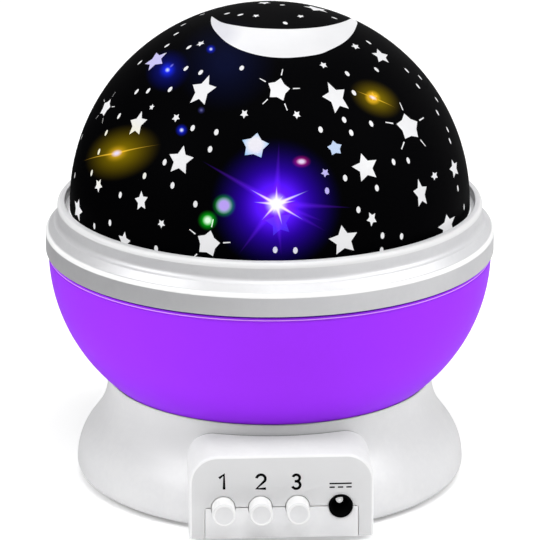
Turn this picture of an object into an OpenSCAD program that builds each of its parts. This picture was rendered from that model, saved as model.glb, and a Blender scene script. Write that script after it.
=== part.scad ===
// Star night light projector.
// A white bell-shaped base with a control box on its front carries a round bowl that turns on
// a hollow column. A lift-off cover, a ring with a printed dome, sits on the bowl, and four
// lamps on top of the column throw the dome's star windows on to the ceiling.
//
// Units are millimetres and +Z is up. The origin is on the spin axis, on the plane that the
// foot ring stands on. The control box faces -Y.

/* [Bowl] */
// Largest outer radius of the bowl
bowl_r = 64.5; // [62:0.5:70]
// Radius of the curve of the bowl's side, in section
bowl_curve = 49.4; // [46:0.2:52]
// Height of the bowl from its flat underside to its lip
bowl_h = 41.4; // [40:0.2:44]
// Wall of the bowl
bowl_wall = 2; // [1.6:0.1:2.4]
// Distance from the lip down to the widest level
lip_drop = 0.45; // [0.3:0.05:0.9]

/* [Base] */
// How much wider the base is at its widest level than at its neck, on the radius
flare = 9.2; // [8:0.1:11]
// Height of the widest level above the table
hip_z = 4; // [3.6:0.1:5]
// Radius of the convex curve above the widest level
hip_curve = 17.8; // [16:0.2:20]
// Radius of the concave curve below the rim
waist_curve = 19.6; // [17:0.2:21]
// Lean of the flank between the two curves, from vertical
flank_lean = 34.2; // [32:0.2:36]
// Height of the base's rim above the bowl's underside
rim_up = 2.7; // [2.2:0.1:4]
// Wall of the base
base_wall = 2; // [1.6:0.1:2.4]
// Height of the top of the deck above the table
deck_z = 23.6; // [23.2:0.1:26]
// Thickness of the deck
deck_t = 2; // [1.8:0.1:2.4]
// Gap between the bowl and the dish that it turns in
dish_gap = 0.6; // [0.4:0.05:0.8]

/* [Control box] */
// Width of the box
box_w = 52.2; // [51:0.2:56]
// How far its front face stands out beyond the base's widest level
box_out = 4.1; // [3.5:0.1:6]
// Height of its front face's top edge above the table
box_top = 26; // [25:0.2:27]
// Radius of its top corners
box_corner = 8; // [6:0.5:9]
// Radius of the edge round its front face
box_edge = 2; // [1:0.25:2.5]
// Wall of the box
box_wall = 2; // [1.6:0.1:2.4]
// Slope of its top, in rise per length
box_slope = 0.09; // [0:0.01:0.1]
// Half the width of the bottom cover's front tab
tab_half = 21.7; // [21.2:0.1:22.2]

/* [Buttons] */
// Radius of a button
button_r = 3.3; // [3:0.1:3.6]
// Distance from one button to the next
button_pitch = 10.55; // [10:0.05:10.8]
// Sideways place of the first button
button_x = -16.6; // [-17:0.1:-15.5]
// Height of the buttons and the power socket above the table
button_z = 10.5; // [10:0.1:11.5]
// How far a button stands out of the box
button_out = 6; // [4:0.25:7]
// Travel of a button
button_travel = 1.8; // [1:0.1:2]
// Radius of a button's stem
stem_r = 1.25; // [1:0.05:1.4]
// Size of a switch's square housing
switch_w = 7.2; // [6.4:0.1:8]

/* [Power socket] */
// Sideways place of the socket
jack_x = 16.7; // [16:0.1:17.2]
// Outer radius of its collar
jack_r = 3.35; // [3.25:0.05:3.6]
// Radius of the hole for the plug
plug_r = 2.85; // [2.75:0.05:2.95]
// Radius of the centre pin
pin_r = 1; // [0.8:0.05:1.2]
// Depth of the plug's hole
plug_depth = 9; // [8:0.25:10]
// Depth of the pin's tip below the mouth
pin_recess = 3.5; // [1:0.25:5]

/* [Cover] */
// How much the dome's radius is less than the bowl's
dome_inset = 6.3; // [6:0.1:7]
// Wall of the dome
dome_t = 1.6; // [1.2:0.1:2]
// Thickness of the printed skin
mask_t = 0.4; // [0.3:0.05:0.5]
// Gap between the bowl's lip and the ring
ring_gap = 0.5; // [0.4:0.05:1]
// Height of the ring's straight outer band
band_h = 6.8; // [6:0.1:7.5]
// Height of the whole ring above the band's lower edge
ring_h = 15.5; // [15:0.1:17]
// Wall of the ring's spigot, which goes into the bowl
spigot_t = 1.2; // [1:0.1:1.4]
// Width of the groove between the ring's lip and the dome
groove_w = 1.4; // [1:0.1:1.6]
// Radius across a large star window
star_r = 4; // [3:0.25:4.5]
// Radius of a dot window
dot_r = 0.9; // [0.6:0.1:1.2]
// Radius of the crescent moon near the top
moon_r = 21.5; // [18:0.5:22]
// Width of the crescent at its middle
moon_w = 12; // [8:0.5:14]

/* [Drive] */
// Module of the gears
gear_module = 0.6; // [0.55:0.01:0.62]
// Teeth of the gear on the bowl
gear_teeth = 60; // [54:6:60]
// Teeth of the motor's pinion
pinion_teeth = 12; // [12:1:12]
// Width of the bowl's gear
gear_t = 2.5; // [2:0.1:3]
// Thickness of the thrust washer
washer_t = 0.6; // [0.5:0.05:0.8]
// Radius of the motor's output shaft
shaft_r = 1; // [0.8:0.05:1.2]
// Radius of the gearbox
gearbox_r = 10; // [9:0.1:10.4]
// Height of the gearbox
gearbox_h = 6.4; // [6:0.1:7]
// Radius of the motor
motor_r = 7.5; // [6:0.25:8.5]

/* [Lamp] */
// Outer radius of the hollow column
column_r = 7; // [6.6:0.1:7.2]
// Wall of the column
column_wall = 1.8; // [1.4:0.1:2]
// Radius of the lamp board
board_r = 16; // [15:0.5:18]
// Radius of the white lamp
white_led_r = 4; // [3:0.5:4.5]
// Radius of a coloured lamp
colour_led_r = 2.5; // [2:0.25:3]
// Distance of the coloured lamps from the axis
led_ring_r = 10.5; // [9.5:0.25:11.5]

/* [Batteries] */
// Radius of a cell
cell_r = 5.25; // [5.1:0.05:5.3]
// Length of a cell with its nub
cell_l = 44.5; // [43.5:0.5:45]
// Distance from one cell to the next
cell_pitch = 10.8; // [10.7:0.05:11]
// Place of the first cell's axis along Y
cell_y = -2.2; // [-2.4:0.1:-1.8]
// Wall of the battery bay
bay_wall = 1.4; // [1.2:0.1:1.6]
// Thickness of the battery door
door_t = 1.6; // [1.4:0.1:1.8]

/* [Bottom] */
// Thickness of the foot ring
foot_t = 1.2; // [1:0.1:1.6]
// How far the foot ring's outer edge lies inside the base's widest level
foot_inset = 6.5; // [6:0.1:7]
// Width of the foot ring
foot_w = 4; // [3:0.25:4.2]
// Thickness of the bottom cover
cover_t = 2; // [1.8:0.1:2.4]

/* [Fits] */
// Running clearance of a shaft in its hole, on the radius
run_fit = 0.05; // [0.02:0.01:0.08]
// Gap round a button, and round the bottom cover and its tab
loose_fit = 0.2; // [0.15:0.05:0.25]
// Gap between flat faces that move past each other
face_gap = 0.3; // [0.2:0.05:0.35]
// Radius of a small screw's thread
screw_r = 1.1; // [1:0.05:1.2]

/* [Hidden] */

$fn = 96;

// Heights, from the table up
under_z = foot_t;                              // underside of the bottom cover
plate_z = under_z + cover_t;                   // top of the bottom cover
roof_z = deck_z - deck_t;                      // underside of the deck
washer_z = deck_z + washer_t;                  // top of the thrust washer
gear_z = washer_z + face_gap;                  // underside of the bowl's gear
bowl_z = gear_z + gear_t;                      // underside of the bowl
floor_z = bowl_z + bowl_wall;                  // top of the bowl's floor
lip_z = bowl_z + bowl_h;                       // lip of the bowl
ring_z = lip_z + ring_gap;                     // lower edge of the ring's band
band_z = ring_z + band_h;                      // upper edge of the band
ring_top = ring_z + ring_h;                    // top of the ring's inner lip
dome_z = ring_top - 2.2;                       // centre of the dome
lamp_z = lip_z - 1.2;                          // top of the lamp board

// The bowl's side is an arc round [side_x, side_z]; the dish in the base is an arc round the same point
side_x = bowl_r - bowl_curve;
side_z = lip_z - lip_drop;
dish_curve = bowl_curve + dish_gap;
rim_tip = 0.4;                                 // width of the rim's rounded tip
rim_z = bowl_z + rim_up;

// Radii of the base
neck_r = side_x + sqrt(pow(dish_curve, 2) - pow(side_z - rim_z, 2)) + rim_tip;
base_r = neck_r + flare;                       // radius of the widest level
box_front = base_r + box_out;                  // distance of the box's front face from the spin axis
foot_r = base_r - foot_inset;                  // outer radius of the foot ring
roll_r = 3;                                    // radius of the roll under the base's widest level
cover_hole_r = base_r - 4.3;                   // radius of the opening under the base

// Rings and radii of the cover
dome_r = bowl_r - dome_inset;
ring_r = bowl_r + 0.5;
groove_r = dome_r + groove_w;                  // inner face of the ring's lip
cove_r = groove_r + 2.2;                       // wall above the cove
spigot_r = bowl_r - bowl_wall - 1;             // outer face of the spigot
bore_r = spigot_r - spigot_t;                  // the ring's bore
seat_z = dome_z - 2.5;                         // the dome's flange seats under here
seat_t = 1.3;                                  // thickness of the seat and of the flange
moon_y = -5.3;                                 // centre of the crescent's outer edge
band_wall = 1.6;

// Drive
motor_y = -gear_module * (gear_teeth + pinion_teeth) / 2;
ear_x = gearbox_r + 2.5;
backlash = 0.12;                               // taken off each tooth's thickness
bush_t = 1.2;
bush_top = floor_z + 4;
clip_t = 1;
gear_screw_ring = 13;

// Control box
box_z0 = under_z + 0.2;
wall_y = -box_front + box_wall;                // inner face of the front wall
box_back = 38;                                 // the box runs back to here, inside the neck
cap_back = wall_y + face_gap;                  // front of a button's flange
flange_t = 0.8;
switch_y = cap_back + flange_t + button_travel + 0.5;
switch_l = 5.6;
pcb_y = switch_y + switch_l;
pcb_t = 1.4;
pcb_back = pcb_y + pcb_t;                      // back of the switch board, where the leads end
lead_y = -neck_r + 7.7;                        // the leads go into the control box here
button_xs = [for (i = [0:2]) button_x + i * button_pitch];

// Battery bay
cell_z = under_z + door_t + 0.95 + cell_r;
bay_x = cell_l / 2 + 3.25;
bay_y0 = cell_y - cell_r - 0.35;
bay_y1 = cell_y + 3 * cell_pitch + cell_r + 0.35;
bay_top = cell_z + cell_r + 0.35;
contact_t = 0.4;
cell_shift = 1.2;                              // the cells sit nearer to their nub's contact
pivot_r = 1.3;
pivot_y = bay_y1 - face_gap - pivot_r;
pivot_z = under_z + pivot_r;
trunnion_r = 0.8;
door_x = bay_x - 0.3;
lug_x = door_x - 4.9;
lug_w = 2.4;

// Posts and screws of the case
post_r = 3.2;
post_xy = [[31, -22], [-31, -22], [33, 20], [-33, 20]];
screw_l = 11;
head_r = 2;
head_t = 1.4;

// The dome's windows: rows of stars with dots between them, each row
// [height angle of the stars, how many, turn of the row, size of the stars, height angle of the dots]
star_rows = [[9, 12, 0, 1, 18], [27, 10, 12, 0.85, 35], [43, 8, 30, 1, 51], [57, 5, -54, 0.8, 57]];

// ---- Functions ----

// Points of an arc round c, from angle a0 to a1
function arc(c, r, a0, a1, n = 8) =
  [for (i = [0:n]) let (a = a0 + (a1 - a0) * i / n) c + r * [cos(a), sin(a)]];

// Height of a circle's lower half above a given radius
function low(c, r, x) = c[1] - sqrt(pow(r, 2) - pow(x - c[0], 2));

// Radius at which a circle's lower half has a given height
function reach(c, r, z) = c[0] + sqrt(pow(r, 2) - pow(c[1] - z, 2));

// Outline of the bell, moved inwards by w: roll, hip, flank and waist
function bell(w) = concat(
  arc([base_r - roll_r, hip_z], roll_r - w * 0.9, -70, 0, 4),
  arc([base_r - hip_curve, hip_z], hip_curve - w, 0, flank_lean, 6),
  arc([neck_r + waist_curve, rim_z - 1], waist_curve + w, 180 + flank_lean, 180, 8)
);

// One flank point of an involute tooth on base circle rb, at radius r
function inv(rb, r) = let (t = sqrt(max(0, pow(r / rb, 2) - 1))) t * 180 / PI - atan(t);

// Outline of a spur gear with z teeth
function gear_points(z) = let (
  rp = gear_module * z / 2,
  rb = rp * cos(20),
  tip = rp + 0.9 * gear_module,
  root = rp - 1.2 * gear_module,
  half = 90 / z - backlash / rp * 90 / PI,
  up = max(rb, root + 0.01)
) [for (i = [0:z - 1]) let (a = 360 * i / z, h = half + inv(rb, rp)) each [
    for (s = [-1, 1]) let (
      flank = [for (r = [root, up, rp, tip]) [r, a + s * (h - inv(rb, max(r, rb)))]],
      run = s < 0 ? flank : [for (k = [3:-1:0]) flank[k]]
    ) each [for (q = run) q[0] * [cos(q[1]), sin(q[1])]]
  ]];

// Outline of a five-pointed star
function star(r) =
  [for (i = [0:9]) let (q = i % 2 == 0 ? r : r * 0.48) q * [sin(36 * i), cos(36 * i)]];

// Ring of n points round a point of a path, square to direction d
function ring_points(p, d, r, n) = let (
  e = d / norm(d),
  k = abs(e[2]) < 0.9 ? [0, 0, 1] : [1, 0, 0],
  u = cross(e, k) / norm(cross(e, k)),
  v = cross(e, u)
) [for (i = [0:n - 1]) p + r * (cos(360 * i / n) * u + sin(360 * i / n) * v)];

// Direction of a path at its point i
function along(path, i) = path[min(i + 1, len(path) - 1)] - path[max(i - 1, 0)];

// Points of a path smoothed by rounding its corners m times
function smooth(path, m) = m == 0 ? path : smooth(concat(
  [path[0]],
  [for (i = [0:len(path) - 2]) each [
    path[i] * 0.75 + path[i + 1] * 0.25, path[i] * 0.25 + path[i + 1] * 0.75]],
  [path[len(path) - 1]]
), m - 1);

// ---- Shapes that several pieces use ----

// A tube or wire of radius r along a path
module wire(path, r, n = 6) {
  count = len(path);
  polyhedron(
    points = [for (i = [0:count - 1]) each ring_points(path[i], along(path, i), r, n)],
    faces = concat(
      [[for (i = [0:n - 1]) i]],
      [for (j = [0:count - 2], i = [0:n - 1]) let (k = (i + 1) % n)
        [j * n + i, (j + 1) * n + i, (j + 1) * n + k, j * n + k]],
      [[for (i = [n - 1:-1:0]) (count - 1) * n + i]]
    )
  );
}

// A plain ring
module hoop(r_out, r_in, z0, h) {
  translate([0, 0, z0]) difference() {
    cylinder(r = r_out, h = h);
    translate([0, 0, -1]) cylinder(r = r_in, h = h + 2);
  }
}

// A screw whose head is below its thread: the head's underside is at height 0
module screw_up(l) {
  translate([0, 0, -head_t]) cylinder(r = head_r, h = head_t, $fn = 32);
  cylinder(r = screw_r, h = l, $fn = 32);
}

// Turns a child that points up so that it points to the back, at a place on the front wall
module to_back(x, y) {
  translate([x, y, button_z]) rotate([-90, 0, 0]) children();
}

// Places a child at each of the column's screws
module at_column_screws() {
  for (a = [60, 180, 300]) rotate([0, 0, a]) translate([column_r + head_r + 0.1, 0, 0]) children();
}

// ---- Base ----

// The control box as a solid: rounded edge round the front, sloping top
module box_solid(grow) {
  half = box_w / 2 + grow;
  front = -box_front - grow;
  top = box_top + grow;
  back_top = top + box_slope * (box_front - box_back);
  edge = max(0.3, box_edge + grow);
  corner = box_corner + grow;
  hull() {
    for (s = [-1, 1]) {
      translate([s * (half - corner), front + edge, top - corner]) rotate([90, 0, 0])
        rotate_extrude($fn = 28) translate([corner - edge, 0]) circle(r = edge, $fn = 20);
      translate([s * (half - corner), -box_back, back_top - corner]) rotate([90, 0, 0])
        cylinder(r = corner, h = 0.1, $fn = 28);
      for (y = [front + edge, -box_back]) translate([s * (half - edge), y, box_z0])
        cylinder(r = edge, h = 0.1, $fn = 20);
    }
  }
}

// The hollow of the control box, open to the bell and downwards
module box_hollow() {
  half = box_w / 2 - box_wall;
  corner = box_corner - box_wall;
  top = box_top - box_wall;
  translate([0, wall_y, 0]) rotate([-90, 0, 0]) linear_extrude(3.7 - neck_r - wall_y) {
    translate([-half + corner, -top]) square([2 * (half - corner), top + 1]);
    translate([-half, -top + corner]) square([2 * half, top - corner + 1]);
    for (s = [-1, 1]) translate([s * (half - corner), -top + corner]) circle(r = corner, $fn = 32);
  }
}

// What the bell's wall encloses, up to the deck's underside
module bell_hollow() {
  top_r = neck_r - base_wall;
  slope = 2.5;
  rotate_extrude() polygon(concat(
    [[0, 0], [cover_hole_r, 0], [cover_hole_r, plate_z + 0.4]],
    [for (p = bell(base_wall)) if (p[1] > plate_z + 1 && p[1] < roof_z + slope - 0.5) p],
    [[top_r, roof_z + slope], [top_r - slope, roof_z], [0, roof_z]]
  ));
}

// The room above the deck: the dish that the bowl turns in and the recess for its gear
module dish() {
  c = [side_x, side_z];
  step_z = bowl_z - 0.8;
  recess_r = reach(c, dish_curve, step_z);
  rotate_extrude() polygon(concat(
    [[0, deck_z], [recess_r, deck_z]],
    [for (i = [0:8]) let (x = recess_r + (neck_r - rim_tip - recess_r) * i / 8)
      [x, low(c, dish_curve, x)]],
    [[neck_r - rim_tip / 2, rim_z + 0.15], [neck_r - 0.05, rim_z], [neck_r + 0.01, rim_z - 0.3],
     [neck_r + 9, rim_z - 0.3], [neck_r + 9, rim_z + 5], [0, rim_z + 5]]
  ));
}

module base_shell() {
  color("whitesmoke") difference() {
    union() {
      difference() {
        union() {
          rotate_extrude() polygon(concat(
            [[0, bell(0)[0][1]]], bell(0), [[neck_r, rim_z + 1], [0, rim_z + 1]]));
          box_solid(0);
        }
        bell_hollow();
        box_hollow();
        dish();
      }
      for (p = post_xy) translate([p[0], p[1], plate_z + 0.1])
        cylinder(r = post_r, h = roof_z - plate_z + 0.6, $fn = 48);
    }
    for (p = post_xy) translate([p[0], p[1], 0]) cylinder(r = screw_r + 0.05, h = 16, $fn = 48);
    cylinder(r = column_r + run_fit, h = deck_z + 1);
    at_column_screws() translate([0, 0, roof_z - 1]) cylinder(r = screw_r + 0.02, h = 2.5, $fn = 48);
    translate([0, motor_y, roof_z - 1]) cylinder(r = shaft_r + 2.1, h = deck_t + 2, $fn = 48);
    for (s = [-1, 1]) translate([s * ear_x, motor_y, roof_z - 1])
      cylinder(r = screw_r + 0.02, h = 2.5, $fn = 48);
    translate([-tab_half - loose_fit / 2, -box_front - 1, -1])
      cube([2 * tab_half + loose_fit, box_wall + 1.5, button_z + loose_fit / 2 + 1]);
    for (x = button_xs) to_back(x, -box_front - 1) cylinder(r = button_r + loose_fit, h = 4);
    to_back(jack_x, -box_front - 1) cylinder(r = jack_r + 0.05, h = 4);
  }
}

module bottom_cover() {
  lug_top = pivot_z + pivot_r + 0.4;
  bay_h = bay_top + bay_wall - under_z;
  color("gainsboro") difference() {
    union() {
      translate([0, 0, under_z]) cylinder(r = cover_hole_r - loose_fit, h = cover_t);
      translate([-box_w / 2 + box_wall + loose_fit, wall_y + loose_fit, under_z])
        cube([box_w - 2 * box_wall - 2 * loose_fit, 20, cover_t]);
      translate([-tab_half, -box_front, box_z0]) cube([2 * tab_half, box_wall, button_z - box_z0]);
      translate([-tab_half, -box_front, box_z0]) cube([2 * tab_half, box_wall + 2, cover_t - 0.2]);
      translate([-bay_x - bay_wall, bay_y0 - bay_wall, under_z])
        cube([2 * (bay_x + bay_wall), bay_y1 - bay_y0 + 2 * bay_wall, bay_h]);
    }
    translate([-bay_x, bay_y0, -1]) cube([2 * bay_x, bay_y1 - bay_y0, bay_top + 1]);
    for (p = post_xy) translate([p[0], p[1], 0]) {
      cylinder(r = screw_r + 0.3, h = 10, $fn = 48);
      cylinder(r = head_r + 0.3, h = under_z + head_t + 0.05, $fn = 48);
    }
    for (x = button_xs) to_back(x, -box_front - 1) cylinder(r = button_r + loose_fit, h = 4);
    to_back(jack_x, -box_front - 1) cylinder(r = jack_r + 0.05, h = 4);
  }
  color("gainsboro") difference() {
    for (s = [-1, 1]) translate([s * (lug_x + lug_w / 2) - lug_w / 2, pivot_y - pivot_r, under_z])
      cube([lug_w, bay_y1 - pivot_y + pivot_r, lug_top - under_z]);
    translate([-bay_x, pivot_y, pivot_z]) rotate([0, 90, 0])
      cylinder(r = trunnion_r + run_fit, h = 2 * bay_x, $fn = 32);
  }
}

module foot_ring() {
  color("dimgray") hoop(foot_r, foot_r - foot_w, 0, foot_t);
}

module case_screws() {
  color("silver") for (p = post_xy) translate([p[0], p[1], under_z + head_t]) screw_up(screw_l);
}

// ---- Batteries ----

module battery_door() {
  tongue_w = 10;
  sweep_r = pivot_r * sqrt(2) + face_gap;      // clears the lugs' corners as the door turns
  color("gainsboro") difference() {
    union() {
      translate([-door_x, bay_y0 + face_gap, under_z])
        cube([2 * door_x, pivot_y - bay_y0 - face_gap, door_t]);
      translate([-door_x, pivot_y, pivot_z]) rotate([0, 90, 0])
        cylinder(r = pivot_r, h = 2 * door_x, $fn = 32);
      translate([-tongue_w / 2, bay_y0 + face_gap, under_z]) cube([tongue_w, 0.8, 4.6]);
    }
    for (s = [-1, 1]) translate([s * (lug_x + lug_w / 2) - lug_w / 2 - face_gap, pivot_y - sweep_r, 0])
      cube([lug_w + 2 * face_gap, 8, 10]);
  }
  color("gainsboro") for (s = [-1, 1]) translate([s * (lug_x + lug_w / 2) - lug_w / 2 - 0.4, pivot_y, pivot_z])
    rotate([0, 90, 0]) cylinder(r = trunnion_r, h = lug_w + 0.8, $fn = 32);
}

// One cell along X, its nub towards +X
module cell() {
  rotate([0, 90, 0]) {
    translate([0, 0, -cell_l / 2]) cylinder(r = cell_r, h = cell_l - 0.9);
    cylinder(r = 1.9, h = cell_l / 2, $fn = 32);
  }
}

// Places a child at each cell, turned so that neighbours point opposite ways
module at_cells() {
  for (i = [0:3]) translate([0, cell_y + i * cell_pitch, cell_z]) mirror([i % 2, 0, 0]) children();
}

module battery_cells() {
  color("darkgoldenrod") at_cells() translate([cell_shift, 0, 0]) cell();
}

module contact_plates() {
  nub_end = cell_l / 2 + cell_shift;
  color("silver") at_cells() for (s = [-1, 1]) {
    translate([s * (bay_x - contact_t / 2) - contact_t / 2, -4.2, -4.2]) cube([contact_t, 8.4, 8.4]);
    if (s > 0) translate([nub_end, 0, 0]) rotate([0, 90, 0])
      cylinder(r = 1.6, h = bay_x - contact_t - nub_end + 0.1, $fn = 32);
  }
}

// A cell's conical spring, wound along X between the contact plate and the cell's flat end
module contact_springs() {
  turns = 3;
  wire_r = 0.3;
  x0 = -bay_x + contact_t + wire_r;
  x1 = -cell_l / 2 + cell_shift - wire_r;
  steps = turns * 12;
  color("silver") at_cells() wire([for (i = [0:steps]) let (q = i / steps, r = 3.4 - 1.2 * q)
    [x0 + (x1 - x0) * q, r * cos(30 * i), r * sin(30 * i)]], wire_r);
}

module battery_lead() {
  color("firebrick") wire(smooth([
    [-bay_x + 5.5, bay_y0 - bay_wall, cell_z], [-bay_x + 5.5, bay_y0 - 8, cell_z],
    [-19, lead_y + 12, cell_z - 2], [-18, lead_y, cell_z - 1],
    [-16, pcb_back + 3, button_z - 1.5], [-16, pcb_back, button_z - 1.5]
  ], 2), 0.6);
}

// ---- Controls ----

module switch_board() {
  half = box_w / 2 - box_wall - loose_fit;
  foot_z = plate_z + 0.3;
  color("seagreen") translate([-half, pcb_y, foot_z]) cube([2 * half, pcb_t, box_top - 7.5 - foot_z]);
}

module switch_housings() {
  color("dimgray") for (x = button_xs) difference() {
    translate([x - switch_w / 2, switch_y, button_z - switch_w / 2]) cube([switch_w, switch_l, switch_w]);
    to_back(x, switch_y - 1) cylinder(r = stem_r + run_fit, h = switch_l + 0.6, $fn = 32);
  }
}

module board_chips() {
  color("black") {
    translate([-8, pcb_back, button_z - 4.5]) cube([8, 1.6, 5]);
    translate([6, pcb_back, button_z + 2.5]) cube([4, 1.2, 3]);
  }
  color("navy") translate([4, pcb_back, button_z - 2.5]) rotate([-90, 0, 0]) cylinder(r = 2, h = 5, $fn = 32);
}

module power_socket() {
  block_w = 8.6;
  block_y = wall_y + face_gap;
  mouth_y = -box_front - 0.4;
  color("black") difference() {
    union() {
      translate([jack_x - block_w / 2, block_y, button_z - 4.2]) cube([block_w, pcb_y - block_y, 8.4]);
      to_back(jack_x, mouth_y) cylinder(r = jack_r, h = block_y - mouth_y + 0.5);
    }
    to_back(jack_x, mouth_y - 1) cylinder(r = plug_r, h = plug_depth + 1);
  }
}

module socket_pin() {
  mouth_y = -box_front - 0.4;
  color("gold") to_back(jack_x, mouth_y + pin_recess)
    cylinder(r = pin_r, h = plug_depth - pin_recess, $fn = 32);
}

// A button's cap: a drum with a rounded tip, a flange behind the wall and a socket for the stem
module button_cap(x) {
  tip_y = -box_front - button_out;
  drum = cap_back - tip_y + flange_t;
  round_r = 0.6;
  color("white") to_back(x, tip_y) difference() {
    union() {
      rotate_extrude() polygon(concat([[0, 0]], arc([button_r - round_r, round_r], round_r, -90, 0, 4),
        [[button_r, drum], [0, drum]]));
      translate([0, 0, drum - flange_t]) cylinder(r = button_r + 0.8, h = flange_t);
    }
    translate([0, 0, drum - 4]) cylinder(r = stem_r + 0.02, h = 5, $fn = 32);
  }
}

module button_stem(x) {
  start_y = cap_back + flange_t - 4;
  end_y = switch_y + switch_l - 0.6 - button_travel;
  color("dimgray") to_back(x, start_y) cylinder(r = stem_r, h = end_y - start_y, $fn = 32);
}

module button_cap_1() { button_cap(button_xs[0]); }
module button_cap_2() { button_cap(button_xs[1]); }
module button_cap_3() { button_cap(button_xs[2]); }
module button_stem_1() { button_stem(button_xs[0]); }
module button_stem_2() { button_stem(button_xs[1]); }
module button_stem_3() { button_stem(button_xs[2]); }

// ---- Drive ----

module gearbox_housing() {
  boss_r = shaft_r + 2;
  color("silver") translate([0, motor_y, 0]) difference() {
    union() {
      translate([0, 0, roof_z - gearbox_h]) cylinder(r = gearbox_r, h = gearbox_h);
      translate([0, 0, roof_z - 1]) cylinder(r = boss_r, h = deck_t + 1.4, $fn = 48);
      for (s = [-1, 1]) {
        translate([s * ear_x, 0, roof_z - 1.6]) cylinder(r = 3, h = 1.6, $fn = 48);
        translate([s * ear_x / 2 - ear_x / 2, -3, roof_z - 1.6]) cube([ear_x, 6, 1.6]);
      }
    }
    translate([0, 0, roof_z - 3]) cylinder(r = shaft_r + run_fit, h = 10, $fn = 48);
    for (s = [-1, 1]) translate([s * ear_x, 0, 0]) cylinder(r = screw_r + 0.1, h = 40, $fn = 48);
  }
}

module motor_can() {
  top_z = roof_z - gearbox_h;
  foot_z = plate_z + 0.8;
  color("lightgray") translate([0, motor_y, foot_z]) {
    cylinder(r = motor_r, h = top_z - foot_z);
    for (s = [-1, 1]) translate([-motor_r - 1.6, s * 2.5 - 0.25, 2]) cube([3, 0.5, 2]);
  }
}

module motor_screws() {
  color("dimgray") for (s = [-1, 1]) translate([s * ear_x, motor_y, roof_z - 1.6]) screw_up(3);
}

module motor_lead() {
  color("royalblue") for (s = [-1, 1]) wire(smooth([
    [-motor_r - 1.9, motor_y + s * 2.5, plate_z + 3.8], [-motor_r - 4, motor_y + s * 2, plate_z + 4],
    [-11, motor_y - 10, button_z - 1.5 + s], [-9, lead_y - 1, button_z + 2 + s],
    [-6 + 2 * s, pcb_back + 2.5, button_z + 4.5], [-6 + 2 * s, pcb_back, button_z + 4.5]
  ], 2), 0.5);
}

module output_shaft() {
  color("silver") translate([0, motor_y, roof_z - 2.8])
    cylinder(r = shaft_r, h = gear_z + gear_t - 0.4 - roof_z + 2.8, $fn = 48);
}

module drive_pinion() {
  color("ivory") translate([0, motor_y, gear_z]) difference() {
    rotate([0, 0, 180 / pinion_teeth]) linear_extrude(gear_t - face_gap - 0.1)
      polygon(gear_points(pinion_teeth));
    translate([0, 0, -1]) cylinder(r = shaft_r + 0.01, h = gear_t + 2, $fn = 48);
  }
}

// ---- Column and lamps ----

module lamp_column() {
  flange_r = column_r + 4;
  foot_z = roof_z - 1.6;
  head_z = lamp_z - 5.2;
  color("whitesmoke") difference() {
    union() {
      translate([0, 0, foot_z]) cylinder(r = flange_r, h = 1.6);
      translate([0, 0, foot_z]) cylinder(r = column_r, h = head_z - foot_z);
    }
    translate([0, 0, foot_z - 1]) cylinder(r = column_r - column_wall, h = head_z - foot_z + 2);
    translate([0, 0, bush_top + face_gap]) hoop(column_r + 1, column_r - 0.6, 0, clip_t + 0.1);
    at_column_screws() translate([0, 0, foot_z - 1]) cylinder(r = screw_r + 0.05, h = 4, $fn = 48);
  }
}

module column_screws() {
  color("silver") at_column_screws() translate([0, 0, roof_z - 1.6]) screw_up(3);
}

module thrust_washer() {
  color("lightsteelblue") hoop(column_r + 3.5, column_r + 0.1, deck_z, washer_t);
}

module retaining_ring() {
  color("dimgray") difference() {
    hoop(column_r + 2.2, column_r - 0.55, bush_top + face_gap + 0.05, clip_t);
    translate([0, -3, bush_top - 1]) cube([20, 6, 5]);
  }
}

module lamp_lead() {
  top = lamp_z - 1.2;
  color("orange") for (s = [-1, 1]) wire(smooth([
    [0, s * 1.2, top], [0, s * 1.2, top / 2 + roof_z / 2], [0, s * 1.2, roof_z], [4, s * 1.2, roof_z - 3.2],
    [13 + s * 0.6, -4 + s * 1.2, roof_z - 3.6], [18 + s * 1.2, -14 + s * 0.4, roof_z - 4.1],
    [18 + s * 1.2, motor_y - 10, button_z + 3.5], [14 + s * 1.5, lead_y, button_z + 3.5],
    [14 + s * 1.5, pcb_back + 2.5, button_z + 4.5], [14 + s * 1.5, pcb_back, button_z + 4.5]
  ], 2), 0.6);
}

module lamp_holder() {
  rim = 1.4;
  gap = 0.2;
  plate = 1.8;
  color("whitesmoke") difference() {
    union() {
      translate([0, 0, lamp_z - 1.2 - plate]) cylinder(r = board_r + gap + rim, h = plate + 1.2);
      translate([0, 0, lamp_z - 12]) cylinder(r = column_r + 1.6, h = 12 - 1.2 - plate + 0.1);
    }
    translate([0, 0, lamp_z - 1.2]) cylinder(r = board_r + gap, h = 5);
    translate([0, 0, lamp_z - 13]) cylinder(r = column_r + run_fit, h = 13 - 5.2);
    cylinder(r = column_r - column_wall, h = 200);
  }
}

module lamp_board() {
  color("white") translate([0, 0, lamp_z - 1.2]) cylinder(r = board_r, h = 1.2);
}

// A lamp: a flange on the board, a straight body and a round top
module led(x, y, r, h, tint) {
  color(tint, 0.8) translate([x, y, lamp_z]) rotate_extrude() polygon(concat(
    [[0, 0], [r + 0.45, 0], [r + 0.45, 1], [r, 1]], arc([0, h - r], r, 0, 90, 8)));
}

// Place of coloured lamp k on its ring
function led_xy(k) = led_ring_r * [cos(90 + 120 * k), sin(90 + 120 * k)];

module led_white() { led(0, 0, white_led_r, 10.5, "white"); }
module led_red() { led(led_xy(0)[0], led_xy(0)[1], colour_led_r, 8.6, "red"); }
module led_green() { led(led_xy(1)[0], led_xy(1)[1], colour_led_r, 8.6, "lime"); }
module led_blue() { led(led_xy(2)[0], led_xy(2)[1], colour_led_r, 8.6, "blue"); }

// ---- Bowl ----

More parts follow.
